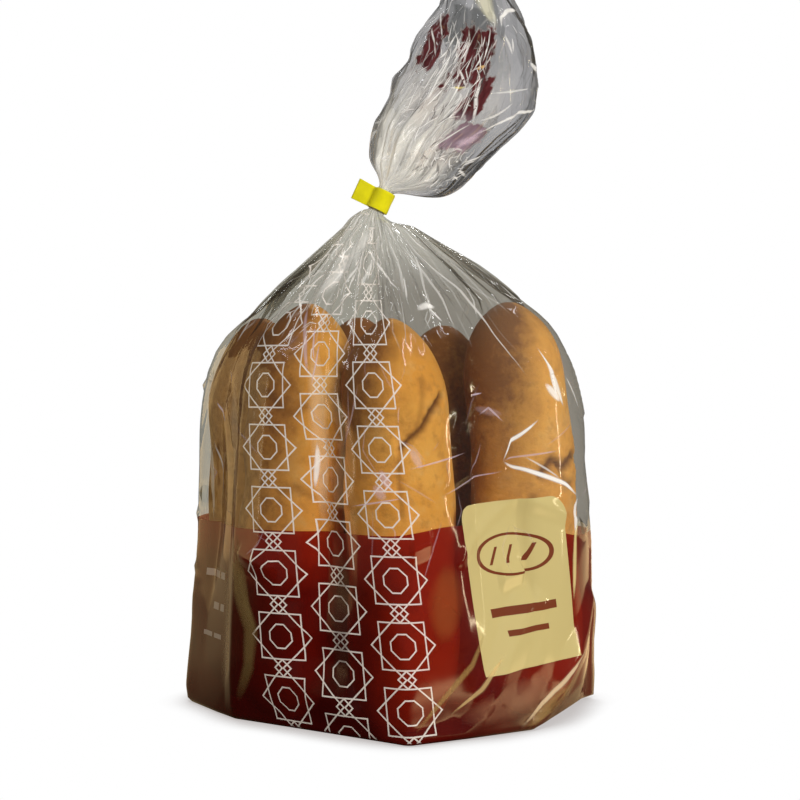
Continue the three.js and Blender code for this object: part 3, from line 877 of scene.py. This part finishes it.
# Materials
class Graph:
    """Builds a material's nodes, mostly by methods that each return a socket."""

    def __init__(self, name):
        self.material = bpy.data.materials.new(name)
        self.material.use_nodes = True
        self.tree = self.material.node_tree
        self.tree.nodes.clear()

    def node(self, kind, **settings):
        node = self.tree.nodes.new("ShaderNode" + kind)
        for key, value in settings.items():
            setattr(node, key, value)
        return node

    def feed(self, socket, value):
        if isinstance(value, bpy.types.NodeSocket):
            self.tree.links.new(value, socket)
        elif value is not None:
            if hasattr(socket.default_value, "__len__") and len(socket.default_value) == 4:
                value = (*value, 1)
            socket.default_value = value

    def math(self, operation, a, b=None, clamp=False):
        node = self.node("Math", operation=operation, use_clamp=clamp)
        self.feed(node.inputs[0], a)
        self.feed(node.inputs[1], b)
        return node.outputs[0]

    def plus(self, a, b, clamp=False):
        return self.math("ADD", a, b, clamp)

    def minus(self, a, b):
        return self.math("SUBTRACT", a, b)

    def times(self, a, b):
        return self.math("MULTIPLY", a, b)

    def over(self, a, b):
        return self.math("DIVIDE", a, b)

    def above(self, a, b):
        return self.math("GREATER_THAN", a, b)

    def below(self, a, b):
        return self.math("LESS_THAN", a, b)

    def larger(self, a, b):
        return self.math("MAXIMUM", a, b)

    def size(self, a):
        return self.math("ABSOLUTE", a)

    def span(self, value, low, high, out_low=0, out_high=1):
        """Runs smoothly from out_low to out_high while value goes from low to high."""
        node = self.node("MapRange", interpolation_type="SMOOTHSTEP")
        for name, number in (
            ("Value", value),
            ("From Min", low),
            ("From Max", high),
            ("To Min", out_low),
            ("To Max", out_high),
        ):
            self.feed(node.inputs[name], number)
        return node.outputs[0]

    def colour(self, factor, a, b):
        node = self.node("Mix", data_type="RGBA")
        self.feed(node.inputs[0], factor)
        self.feed(node.inputs[6], a)
        self.feed(node.inputs[7], b)
        return node.outputs[2]

    def stretched(self, vector, scale):
        mapping = self.node("Mapping")
        self.feed(mapping.inputs["Vector"], vector)
        mapping.inputs["Scale"].default_value = scale
        return mapping.outputs[0]

    def noise(self, vector, scale, detail, roughness=0.55, stretch=None):
        node = self.node("TexNoise")
        self.feed(node.inputs["Vector"], self.stretched(vector, stretch) if stretch else vector)
        node.inputs["Scale"].default_value = scale
        node.inputs["Detail"].default_value = detail
        node.inputs["Roughness"].default_value = roughness
        return node.outputs[0]

    def bump(self, height, strength, distance):
        node = self.node("Bump")
        node.inputs["Strength"].default_value = strength
        node.inputs["Distance"].default_value = distance
        self.feed(node.inputs["Height"], height)
        return node.outputs[0]

    def cells(self, vector, scale, stretch):
        """A random number between 0 and 1 for each of many flat facets."""
        cell = self.node("TexVoronoi", voronoi_dimensions="2D")
        self.feed(cell.inputs["Vector"], self.stretched(vector, stretch))
        cell.inputs["Scale"].default_value = scale
        split = self.node("SeparateColor")
        self.feed(split.inputs[0], cell.outputs["Color"])
        return split.outputs[0]

    def attribute(self, name, output="Fac"):
        return self.node("Attribute", attribute_name=name).outputs[output]

    def place(self):
        return self.node("TexCoord").outputs["Object"]

    def inside(self):
        """1 on the side of a film that faces in, else 0."""
        return self.node("NewGeometry").outputs["Backfacing"]

    def uv(self):
        return self.node("UVMap", uv_map="UVMap").outputs[0]

    def uv_millimetres(self):
        split = self.node("SeparateXYZ")
        self.feed(split.inputs[0], self.uv())
        return [self.times(socket, 1 / MM) for socket in split.outputs[:2]]

    def shader(self, kind, **inputs):
        node = self.node(kind)
        for name, value in inputs.items():
            self.feed(node.inputs[name.replace("_", " ")], value)
        return node.outputs[0]

    def mix_shaders(self, factor, a, b):
        node = self.node("MixShader")
        self.feed(node.inputs[0], factor)
        self.tree.links.new(a, node.inputs[1])
        self.tree.links.new(b, node.inputs[2])
        return node.outputs[0]

    def with_shadow(self, seen, colour):
        """The shader seen, with a colour that a lamp's light takes on its way through."""
        lamp = self.node("LightPath").outputs["Is Shadow Ray"]
        return self.mix_shaders(lamp, seen, self.shader("BsdfTransparent", Color=colour))

    def finish(self, shader):
        self.tree.links.new(shader, self.node("OutputMaterial").inputs[0])
        return self.material


LINE_WIDTH = 0.6


def line_mask(g, distance, at, width=LINE_WIDTH):
    """1 where distance is within half a line of at."""
    off = g.size(g.minus(distance, at))
    return g.below(off, width / 2)


def all_of(g, *masks):
    out = masks[0]
    for mask in masks[1:]:
        out = g.times(out, mask)
    return out


def any_of(g, *masks):
    out = masks[0]
    for mask in masks[1:]:
        out = g.larger(out, mask)
    return out


def between(g, value, low, high):
    return all_of(g, g.above(value, low), g.below(value, high))


# Printing on the film, in millimetres round the girth from the front and up from the base
RED_TOP = 81
STAR_LEFT = -61
STAR_RIGHT = 19.25
STAR_PITCH = (26.75, 25.5)
STAR_LEAN = 0.09
STAR_MIDDLE = 52
STAR_HALF = 9.2
STAR_LINK = 2.4
LABEL_MIDDLE = (62.4, 59.2)
LABEL_HALF = (23.8, 33.8)
LABEL_CORNER = 6
LABEL_TURN = math.radians(4.4)
# What is drawn on the label, in millimetres from its middle: an oval with slanting slashes, then bars
OVAL_HEIGHT = 12
OVAL_HALF = (16, 8)
OVAL_LINE = 0.13
SLASH_LEAN = 0.6
SLASH_PITCH = 4
SLASH_WIDTH = 1.5
SLASH_HEIGHTS = (8.5, 15.5)
SLASH_REACH = 10
# Bars: height of the foot and top, then half the length
LABEL_BARS = [(-12, -8.5, 15), (-20, -17.6, 10)]


def star_lines(g, u, v):
    """Columns of eight-pointed stars made of two squares, linked by small diamonds."""
    lean = g.times(g.minus(v, STAR_MIDDLE), STAR_LEAN)
    u = g.plus(u, lean)
    column = g.over(g.minus(u, STAR_LEFT), STAR_PITCH[0])
    index = g.math("FLOOR", column)
    drop = g.times(g.math("MODULO", index, 2), 0.5)
    row = g.plus(g.over(v, STAR_PITCH[1]), drop)
    x = g.times(g.minus(g.math("FRACT", column), 0.5), STAR_PITCH[0])
    y = g.times(g.minus(g.math("FRACT", row), 0.5), STAR_PITCH[1])
    x, y = g.size(x), g.size(y)
    upright = g.larger(x, y)
    turned = g.times(g.plus(x, y), math.sqrt(0.5))
    from_edge = g.minus(STAR_PITCH[1] / 2, y)
    link = g.times(g.plus(x, from_edge), math.sqrt(0.5))
    lines = any_of(
        g,
        line_mask(g, upright, STAR_HALF),
        line_mask(g, turned, STAR_HALF),
        line_mask(g, g.larger(upright, g.times(turned, 1.05)), STAR_HALF * 0.52),
        line_mask(g, link, STAR_LINK),
    )
    return all_of(g, lines, between(g, u, STAR_LEFT, STAR_RIGHT), g.above(v, 1))


def label_masks(g, u, v):
    """The cream panel with round upper corners, and what is printed on it."""
    du = g.minus(u, LABEL_MIDDLE[0])
    dv = g.minus(v, LABEL_MIDDLE[1])
    cos, sin = math.cos(LABEL_TURN), math.sin(LABEL_TURN)
    x = g.plus(g.times(du, cos), g.times(dv, sin))
    y = g.minus(g.times(dv, cos), g.times(du, sin))
    wide = g.size(x)
    corner_x = g.larger(g.minus(wide, LABEL_HALF[0] - LABEL_CORNER), 0)
    corner_y = g.larger(g.minus(y, LABEL_HALF[1] - LABEL_CORNER), 0)
    squared = g.plus(g.times(corner_x, corner_x), g.times(corner_y, corner_y))
    panel = all_of(
        g,
        g.below(squared, LABEL_CORNER**2),
        g.above(y, -LABEL_HALF[1]),
    )
    across, along = g.over(x, OVAL_HALF[0]), g.over(g.minus(y, OVAL_HEIGHT), OVAL_HALF[1])
    oval = g.math("SQRT", g.plus(g.math("POWER", across, 2), g.math("POWER", along, 2)))
    slant = g.minus(x, g.times(g.minus(y, OVAL_HEIGHT), SLASH_LEAN))
    slashes = g.math("PINGPONG", g.plus(slant, 250 * SLASH_PITCH), SLASH_PITCH)
    drawing = [
        line_mask(g, oval, 1, OVAL_LINE),
        all_of(
            g,
            line_mask(g, slashes, 0, SLASH_WIDTH),
            between(g, y, *SLASH_HEIGHTS),
            g.below(g.size(slant), SLASH_REACH),
        ),
    ]
    for low, high, half in LABEL_BARS:
        drawing.append(all_of(g, between(g, y, low, high), g.below(wide, half)))
    return panel, all_of(g, panel, any_of(g, *drawing))


# Rows of plain short blocks on the narrow left side: height of the foot and top, then left and right
SIDE_BARS = [
    (57.5, 60.5, [(-103, -97), (-95, -89), (-87, -82)]),
    (44, 47, [(-94, -88), (-86, -82)]),
    (32, 34, [(-101, -93), (-91, -84)]),
]


def side_bars(g, u, v):
    rows = []
    for low, high, blocks in SIDE_BARS:
        across = any_of(g, *[between(g, u, left, right) for left, right in blocks])
        rows.append(all_of(g, across, between(g, v, low, high)))
    return any_of(g, *rows)


BLACK = (0, 0, 0)
SEAM_FIN = (115, 121)
VALLEY_MIDDLE = -27
# How much less the valley between two rolls mirrors, which paints shade into it
VALLEY_SHADE_GLOSS_CUT = 0.85
RED_OPACITY = 0.56
WHITE_OPACITY = 0.85
GRAZING_GLOSS = 0.45
LEAST_GLOSS = 0.04
CLEAR_FRONT = (0.93, 0.93, 0.925)
# What the far wall lets through, seen from inside: painted shade that dims what lies behind the bag, most
# on the right and least at the neck
CLEAR_BACK_SHADE_LEFT = (0.36, 0.35, 0.30)
CLEAR_BACK_SHADE_RIGHT = (0.27, 0.255, 0.22)
CLEAR_BACK_SHADE_NECK = (0.6, 0.6, 0.55)
CLEAR_SHADOW = (0.95, 0.95, 0.95)
INK_WHITE = (0.92, 0.87, 0.83)
INK_CREAM = (0.68, 0.565, 0.245)
INK_BROWN = (0.20, 0.045, 0.018)
INK_RED = (0.235, 0.009, 0.005)
# The red ink where painted shade darkens it
INK_RED_IN_PAINTED_SHADE = (0.06, 0.002, 0.002)
RED_FRONT = (0.50, 0.13, 0.06)
# What the red far wall lets through, seen from inside, darkened as painted shade; it also darkens the low
# left front
RED_BACK = (0.25, 0.03, 0.015)
RED_SHADOW = (0.75, 0.34, 0.24)
# The film's own haze, and the sheen painted over the gathered film near the neck
HAZE_AND_SHEEN = (0.74, 0.75, 0.67)
# The tail film's haze, and the sheen painted over it
TAIL_HAZE_AND_SHEEN = (1, 1, 0.96)


def film_shader(g, opacity, colour, through, shadow, gloss_share=1):
    """Clear film with printing: what shows through, the ink, haze and painted sheen on it, and the gloss
    over all.
    """
    clear = g.shader("BsdfTransparent", Color=through)
    ink = g.shader("BsdfPrincipled", Base_Color=colour, Roughness=0.4, Specular_IOR_Level=0.15)
    facing = g.node("LayerWeight")
    facing.inputs["Blend"].default_value = 0.5
    grazing = g.math("POWER", facing.outputs["Facing"], 4.5)
    mirrored = g.times(g.plus(g.times(grazing, GRAZING_GLOSS), LEAST_GLOSS, clamp=True), gloss_share)
    gloss = g.shader("BsdfGlossy", Roughness=0.09, Color=(0.95, 0.95, 0.95))
    film = g.mix_shaders(mirrored, g.mix_shaders(opacity, clear, ink), gloss)
    return g.with_shadow(film, shadow)


def body_film_material():
    g = Graph("printed film")
    u, v = g.uv_millimetres()
    uv, inside = g.uv(), g.inside()
    red_top = g.minus(g.span(u, 2, 30, RED_TOP, RED_TOP + 3), g.span(u, 60, 95, 0, 7))
    red = all_of(g, g.below(v, red_top), g.minus(1, between(g, u, *SEAM_FIN)))
    panel, drawing = label_masks(g, u, v)
    white = any_of(g, star_lines(g, u, v), g.times(side_bars(g, u, v), 0.6))
    # Painted shade on the red print: low on the left front and along the foot, with darker patches at
    # random; the low left front also lets less show through it
    low_left = all_of(g, g.span(u, 16, -14), g.span(v, 80, 52))
    foot = g.span(v, 26, 8, 0, 0.55)
    patchy = g.span(g.noise(uv, 24, 3), 0.35, 0.65, 0, 0.45)
    shaded = g.plus(patchy, any_of(g, low_left, foot), clamp=True)
    colour = g.colour(red, HAZE_AND_SHEEN, g.colour(shaded, INK_RED, INK_RED_IN_PAINTED_SHADE))
    for mask, ink in ((white, INK_WHITE), (panel, INK_CREAM), (drawing, INK_BROWN)):
        colour = g.colour(mask, colour, ink)
    # Painted sheen: white streaks over the gathered film near the neck
    neck = g.span(v, 178, 219)
    streaks = g.noise(uv, 30, 4, 0.6, stretch=(6, 0.8, 1))
    opacity = any_of(
        g,
        g.plus(g.times(red, RED_OPACITY), g.span(u, 45, 80, 0.012, 0.06)),
        g.times(white, WHITE_OPACITY),
        panel,
        g.times(neck, g.span(streaks, 0.35, 0.75, 0.05, 0.6)),
    )
    # Painted shade: the far wall lets through less than clear film does
    behind = g.colour(g.span(u, -70, 110), CLEAR_BACK_SHADE_LEFT, CLEAR_BACK_SHADE_RIGHT)
    clear = g.colour(inside, CLEAR_FRONT, g.colour(neck, behind, CLEAR_BACK_SHADE_NECK))
    seen = g.colour(low_left, RED_FRONT, RED_BACK)
    through = g.colour(red, clear, g.colour(inside, seen, RED_BACK))
    shadow = g.colour(panel, g.colour(red, CLEAR_SHADOW, RED_SHADOW), BLACK)
    # painted shade: the printed valley between two rolls is made to mirror little, so it looks dark
    valley = all_of(g, g.span(g.size(g.minus(u, VALLEY_MIDDLE)), 15, 8), g.span(v, 90, 78))
    gloss_share = g.minus(1, g.times(valley, VALLEY_SHADE_GLOSS_CUT))
    return g.finish(film_shader(g, opacity, colour, through, shadow, gloss_share))


# Printing left on the tail: middle and half size round and along it, in millimetres
TAIL_PATCHES = [
    ((93, 73), (9, 12)),
    ((101, 59), (4.5, 8)),
    ((68, 77), (6, 11)),
    ((111, 46), (7, 5)),
]
# Where painted shade dims what shows through the tail most, a clear place and a crumpled one: middle and
# half size, to the right of the tail's middle
TAIL_WINDOW = ((-7, 90), (15, 8))
TAIL_CRUMPLE = ((20, 32), (20, 9))
TAIL_INK_DARK = (0.055, 0.006, 0.008)
TAIL_INK_RED = (0.17, 0.03, 0.035)
TAIL_INK_LILAC = (0.42, 0.33, 0.42)
# What the tail's far wall lets through, seen from inside, from its darkest to its lightest facet: painted
# shade and light
TAIL_BACK_SHADE_DARK = (0.14, 0.144, 0.148)
TAIL_BACK_SHADE_LIGHT = (0.42, 0.417, 0.43)
TAIL_RED_THROUGH = (0.30, 0.09, 0.10)


def box_distance(g, x, y, middle, half):
    """How far a place is from the middle of a box, as a share of the box's half size."""
    across = g.size(g.over(g.minus(x, middle[0]), half[0]))
    along = g.size(g.over(g.minus(y, middle[1]), half[1]))
    return g.larger(across, along)


def tail_side(g, u):
    """How far to the right of the middle, the same on the near and the far wall."""
    wrapped = g.minus(u, g.times(g.above(u, TAIL_GIRTH / 2), TAIL_GIRTH))
    near_side = g.minus(u, TAIL_GIRTH / 2)
    far_side = g.times(wrapped, -1)
    is_far = g.above(g.size(near_side), TAIL_GIRTH / 4)
    return g.plus(near_side, g.times(is_far, g.minus(far_side, near_side)))


def tail_film_material():
    g = Graph("tail film")
    u, v = g.uv_millimetres()
    uv, inside, side = g.uv(), g.inside(), tail_side(g, u)
    nearest = 9
    for middle, half in TAIL_PATCHES:
        nearest = g.math("MINIMUM", nearest, box_distance(g, u, v, middle, half))
    ragged = g.times(g.minus(g.noise(uv, 150, 4, 0.65), 0.5), 1.7)
    red = g.span(g.plus(nearest, ragged), 1.1, 0.9)
    worn = g.noise(uv, 170, 3, 0.6, stretch=(1.6, 0.7, 1))
    ink = g.colour(g.span(worn, 0.35, 0.7), TAIL_INK_DARK, TAIL_INK_RED)
    ink = g.colour(g.span(v, 55, 48), ink, TAIL_INK_LILAC)
    small_tone = g.cells(uv, 170, (1.4, 0.7, 1))
    # Painted sheen: a white veil with streaks and small facets over the middle of the tail, stronger
    # towards the neck
    streaks = g.noise(uv, 30, 4, 0.6, stretch=(5, 0.9, 1))
    painted_sheen = all_of(
        g,
        g.span(g.size(g.plus(side, 9)), 40, 12),
        g.span(v, 84, 22, 0, 0.9),
        g.span(streaks, 0.3, 0.7, 0.25, 1),
        g.plus(g.times(small_tone, 0.7), 0.55),
    )
    colour = g.colour(red, TAIL_HAZE_AND_SHEEN, ink)
    opacity = any_of(g, g.times(red, g.span(worn, 0.3, 0.7, 0.9, 0.6)), g.plus(painted_sheen, 0.02))
    # Painted shade and light on the tail's far wall: what shows through is dimmed facet by facet, and most
    # at the two places
    tone = g.plus(g.times(g.cells(uv, 75, (1.3, 0.6, 1)), 0.5), g.times(small_tone, 0.2))
    tone = g.plus(tone, g.times(g.noise(uv, 28, 2, 0.5), 0.6))
    window = g.span(box_distance(g, side, v, *TAIL_WINDOW), 1.15, 0.9)
    crumpled = g.span(box_distance(g, side, v, *TAIL_CRUMPLE), 1.5, 0.7)
    low_tone = g.minus(tone, g.plus(g.times(window, 0.55), g.times(crumpled, 0.36)))
    behind = g.colour(g.span(low_tone, 0.15, 1), TAIL_BACK_SHADE_DARK, TAIL_BACK_SHADE_LIGHT)
    through = g.colour(red, g.colour(inside, CLEAR_FRONT, behind), TAIL_RED_THROUGH)
    shadow = g.colour(red, CLEAR_SHADOW, RED_SHADOW)
    return g.finish(film_shader(g, opacity, colour, through, shadow))


def painted_light_material():
    """Painted highlights, reflections and shade lying on the film. Each point brings its own strength and
    tint.
    """
    g = Graph("film painted light")
    clear = g.shader("BsdfTransparent", Color=WHITE)
    bright = g.shader("BsdfPrincipled", Base_Color=g.attribute("tint", "Color"), Roughness=0.35)
    return g.finish(g.with_shadow(g.mix_shaders(g.attribute("strength"), clear, bright), WHITE))


CRUST_GOLD = (0.95, 0.49, 0.10)
CRUST_TAN = (0.84, 0.38, 0.06)
CRUST_PALE = (0.88, 0.56, 0.20)
CRUST_BROWN = (0.50, 0.21, 0.04)
CRUST_SPECK = (0.46, 0.20, 0.045)
# The darkest crust: browned crust, and the painted shade on the rolls' turned-away sides
CRUST_BROWNED_AND_SHADED = (0.25, 0.095, 0.022)
# Painted shade inside the cracks
CRUST_CRACK_SHADE = (0.17, 0.06, 0.015)


def bread_material():
    g = Graph("crust")
    place = g.place()
    broad = g.noise(place, 22, 4, 0.6)
    patches = g.noise(place, 70, 4, 0.6)
    mottle = g.noise(place, 190, 5, 0.65)
    grain = g.noise(place, 800, 3, 0.6)
    crust = g.colour(g.span(broad, 0.3, 0.72), CRUST_GOLD, CRUST_TAN)
    for mask, share, tone in (
        (g.span(patches, 0.5, 0.72), 0.45, CRUST_PALE),
        (g.span(patches, 0.5, 0.3), 0.35, CRUST_BROWN),
        (g.span(mottle, 0.5, 0.32), 0.35, CRUST_SPECK),
    ):
        crust = g.colour(g.times(mask, share), crust, tone)
    # Browning and painted shade on the rolls' sides, made uneven by the mottling
    bake_and_shade = g.attribute("bake_and_shade")
    rough_bake_and_shade = g.times(g.minus(mottle, 0.5), g.times(bake_and_shade, 1.6))
    uneven = g.plus(g.plus(bake_and_shade, rough_bake_and_shade), g.times(g.minus(broad, 0.5), 0.6))
    crust = g.colour(g.span(uneven, 0, 1), crust, CRUST_BROWNED_AND_SHADED)
    # Painted shade in the cracks
    crust = g.colour(g.attribute("crack_shade"), crust, CRUST_CRACK_SHADE)
    wrinkles = g.noise(place, 60, 3, 0.5, stretch=(0.5, 0.5, 1.6))
    height = g.plus(g.times(mottle, 0.5), g.times(grain, 0.14))
    height = g.plus(height, g.times(wrinkles, 1.2))
    bread = g.shader(
        "BsdfPrincipled",
        Base_Color=crust,
        Roughness=g.span(mottle, 0.3, 0.7, 0.6, 0.78),
        Normal=g.bump(height, 0.75, 0.0014),
        Specular_IOR_Level=0.15,
        Subsurface_Weight=0.08,
        Subsurface_Radius=(0.6, 0.3, 0.12),
        Subsurface_Scale=0.004,
    )
    return g.finish(bread)


TAPE_BRIGHT = (0.98, 0.91, 0.010)
TAPE_DULL = (0.86, 0.80, 0.008)


def tape_material():
    g = Graph("yellow tape")
    place = g.place()
    tape = g.shader(
        "BsdfPrincipled",
        Base_Color=g.colour(g.span(g.noise(place, 160, 3), 0.3, 0.7), TAPE_BRIGHT, TAPE_DULL),
        Roughness=0.34,
        Normal=g.bump(g.noise(place, 420, 3), 0.3, 0.0004),
        Specular_IOR_Level=0.25,
    )
    return g.finish(tape)


def dress(obj, material, slot, *nodes):
    obj.data.materials.clear()
    obj.data.materials.append(material)
    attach(obj, "root")
    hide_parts(*nodes)


body, tail = body_film(), tail_film()
dress(body.build("bag_film"), body_film_material(), "film", "bag")
dress(tail.build("tail_film"), tail_film_material(), "film", "bag")
# Strips of painted highlights, reflections and shade laid over both films
painted_light = painted_light_material()
rng = np.random.default_rng(5)
body_strips = add_strips("body_painted_light", body, BODY_PAINTED_LIGHT + scatter(rng, BODY_PAINTED_LIGHT_BUNCHES))
dress(body_strips, painted_light, "film", "bag")
tail_strips = add_strips("tail_painted_light", tail, TAIL_PAINTED_LIGHT + scatter(rng, TAIL_PAINTED_LIGHT_BUNCHES))
dress(tail_strips, painted_light, "film", "bag")
crust = bread_material()
for number, roll in enumerate(ROLLS):
    dress(make_roll(roll, 40 + number), crust, "bread", "bag")
dress(make_tape(), tape_material(), "tape", "neck_tape")


# Floor, light and camera, in metres
FLOOR_RADIUS = 0.8
FLOOR_DROP = 0.0002
FLOOR_GREY = (0.3, 0.3, 0.3)
CONTACT_REACH = 0.014
CONTACT_SHADE = (0.55, 0.52, 0.51)
# The table seen only in reflections: its colour, where it starts and how bright its parts are
TABLE = (1, 0.72, 0.36)
TABLE_EDGE = (-0.04, 0.07)
TABLE_SIDES = (-0.15, 0.1)
TABLE_LEFT = 0.7
TABLE_RIGHT = 1.8
TABLE_FRONT = 0.02
TABLE_SPOT = (0.15, -0.12)
TABLE_SPOT_REACH = 0.14
TABLE_SPOT_CORE = 0.02
TABLE_SPOT_BRIGHTNESS = 4


def make_floor():
    """White to the camera with a soft shadow by the bag, a warm table in reflections, else grey."""
    bpy.ops.mesh.primitive_circle_add(vertices=96, radius=FLOOR_RADIUS, fill_type="NGON")
    floor = bpy.context.object
    floor.name = "floor"
    floor.location.z = -FLOOR_DROP
    g = Graph("floor")
    near = g.node("AmbientOcclusion", samples=8)
    near.inputs["Distance"].default_value = CONTACT_REACH
    shown = g.shader("Emission", Color=g.colour(g.span(near.outputs["AO"], 0.3, 1), CONTACT_SHADE, WHITE))
    lit = g.shader("BsdfDiffuse", Color=FLOOR_GREY)
    place = g.node("SeparateXYZ")
    g.feed(place.inputs[0], g.place())
    behind = g.span(place.outputs[1], *TABLE_EDGE)
    right = g.span(place.outputs[0], *TABLE_SIDES, TABLE_LEFT, TABLE_RIGHT)
    away = g.node("VectorMath", operation="DISTANCE")
    g.feed(away.inputs[0], g.place())
    away.inputs[1].default_value = (*TABLE_SPOT, 0)
    spot = g.span(away.outputs["Value"], TABLE_SPOT_REACH, TABLE_SPOT_CORE, 0, TABLE_SPOT_BRIGHTNESS)
    brightness = g.plus(g.plus(g.times(behind, right), spot), TABLE_FRONT)
    table = g.shader("Emission", Color=TABLE, Strength=brightness)
    ray = g.node("LightPath")
    unseen = g.mix_shaders(ray.outputs["Is Glossy Ray"], lit, table)
    floor.data.materials.append(g.finish(g.mix_shaders(ray.outputs["Is Camera Ray"], unseen, shown)))


WORLD_TINT = (1, 0.96, 0.88)
WORLD_STRENGTH = 0.09


def make_world():
    """White to the camera, and a weak warm light on everything else."""
    world = bpy.data.worlds.new("studio")
    bpy.context.scene.world = world
    world.use_nodes = True
    nodes, links = world.node_tree.nodes, world.node_tree.links
    nodes.clear()
    seen = nodes.new("ShaderNodeBackground")
    seen.inputs["Color"].default_value = (*WHITE, 1)
    light = nodes.new("ShaderNodeBackground")
    light.inputs["Color"].default_value = (*WORLD_TINT, 1)
    light.inputs["Strength"].default_value = WORLD_STRENGTH
    path = nodes.new("ShaderNodeLightPath")
    mix = nodes.new("ShaderNodeMixShader")
    links.new(path.outputs["Is Camera Ray"], mix.inputs[0])
    links.new(light.outputs[0], mix.inputs[1])
    links.new(seen.outputs[0], mix.inputs[2])
    links.new(mix.outputs[0], nodes.new("ShaderNodeOutputWorld").inputs[0])


LAMP_TARGET = (0, 0, 0.12)


def add_light(name, place, size, brightness, tint=WHITE, kind="both"):
    """A flat rectangular lamp. Its power follows from its size and how bright it looks."""
    data = bpy.data.lights.new(name, "AREA")
    data.shape = "RECTANGLE"
    data.size, data.size_y = size
    data.energy = brightness * math.pi * size[0] * size[1]
    data.color = tint
    lamp = bpy.data.objects.new(name, data)
    lamp.location = place
    lamp.visible_glossy = kind != "lit"
    lamp.visible_diffuse = kind != "mirrored"
    direction = Vector(LAMP_TARGET) - Vector(place)
    lamp.rotation_euler = direction.to_track_quat("-Z", "Y").to_euler()
    bpy.context.scene.collection.objects.link(lamp)


make_floor()
make_world()
add_light("key", (0.62, -0.95, 0.42), (0.6, 0.6), 7.6, (1, 0.97, 0.93), "lit")
add_light("fill", (-0.45, -0.9, 0.35), (0.6, 0.6), 1.6, (1, 0.9, 0.72), "lit")
add_light("tube right", (0.55, -0.15, 1.15), (0.9, 0.02), 18, (1, 0.99, 0.97))
add_light("tube left", (-0.5, -0.3, 0.95), (0.02, 0.8), 13, (0.97, 0.98, 1))
add_light("tube low right", (1.0, -0.3, 0.35), (0.02, 0.7), 30, (1, 0.85, 0.55))
add_light("tube low left", (-0.95, -0.4, 0.3), (0.02, 0.5), 4, (1, 0.9, 0.7))
add_light("tube behind", (0.1, 0.7, 0.8), (0.7, 0.03), 26)
add_light("card left", (-0.9, 0.15, 0.2), (1.3, 0.8), 1.8, (1, 0.66, 0.27), "mirrored")

CAMERA_PLACE = (0.0053, -0.5806, 0.1429)
CAMERA_PITCH = math.radians(0.934)
CAMERA_LENS = 59.4
CAMERA_SENSOR = 36
# How many clear layers can be seen through one another
MOST_LAYERS = 24
camera_data = bpy.data.cameras.new("camera")
camera_data.lens = CAMERA_LENS
camera_data.sensor_width = CAMERA_SENSOR
camera = bpy.data.objects.new("camera", camera_data)
camera.location = CAMERA_PLACE
camera.rotation_euler = (math.pi / 2 - CAMERA_PITCH, 0, 0)
bpy.context.scene.collection.objects.link(camera)
bpy.context.scene.camera = camera

bpy.context.scene.view_settings.view_transform = "Standard"
bpy.context.scene.cycles.transparent_max_bounces = MOST_LAYERS
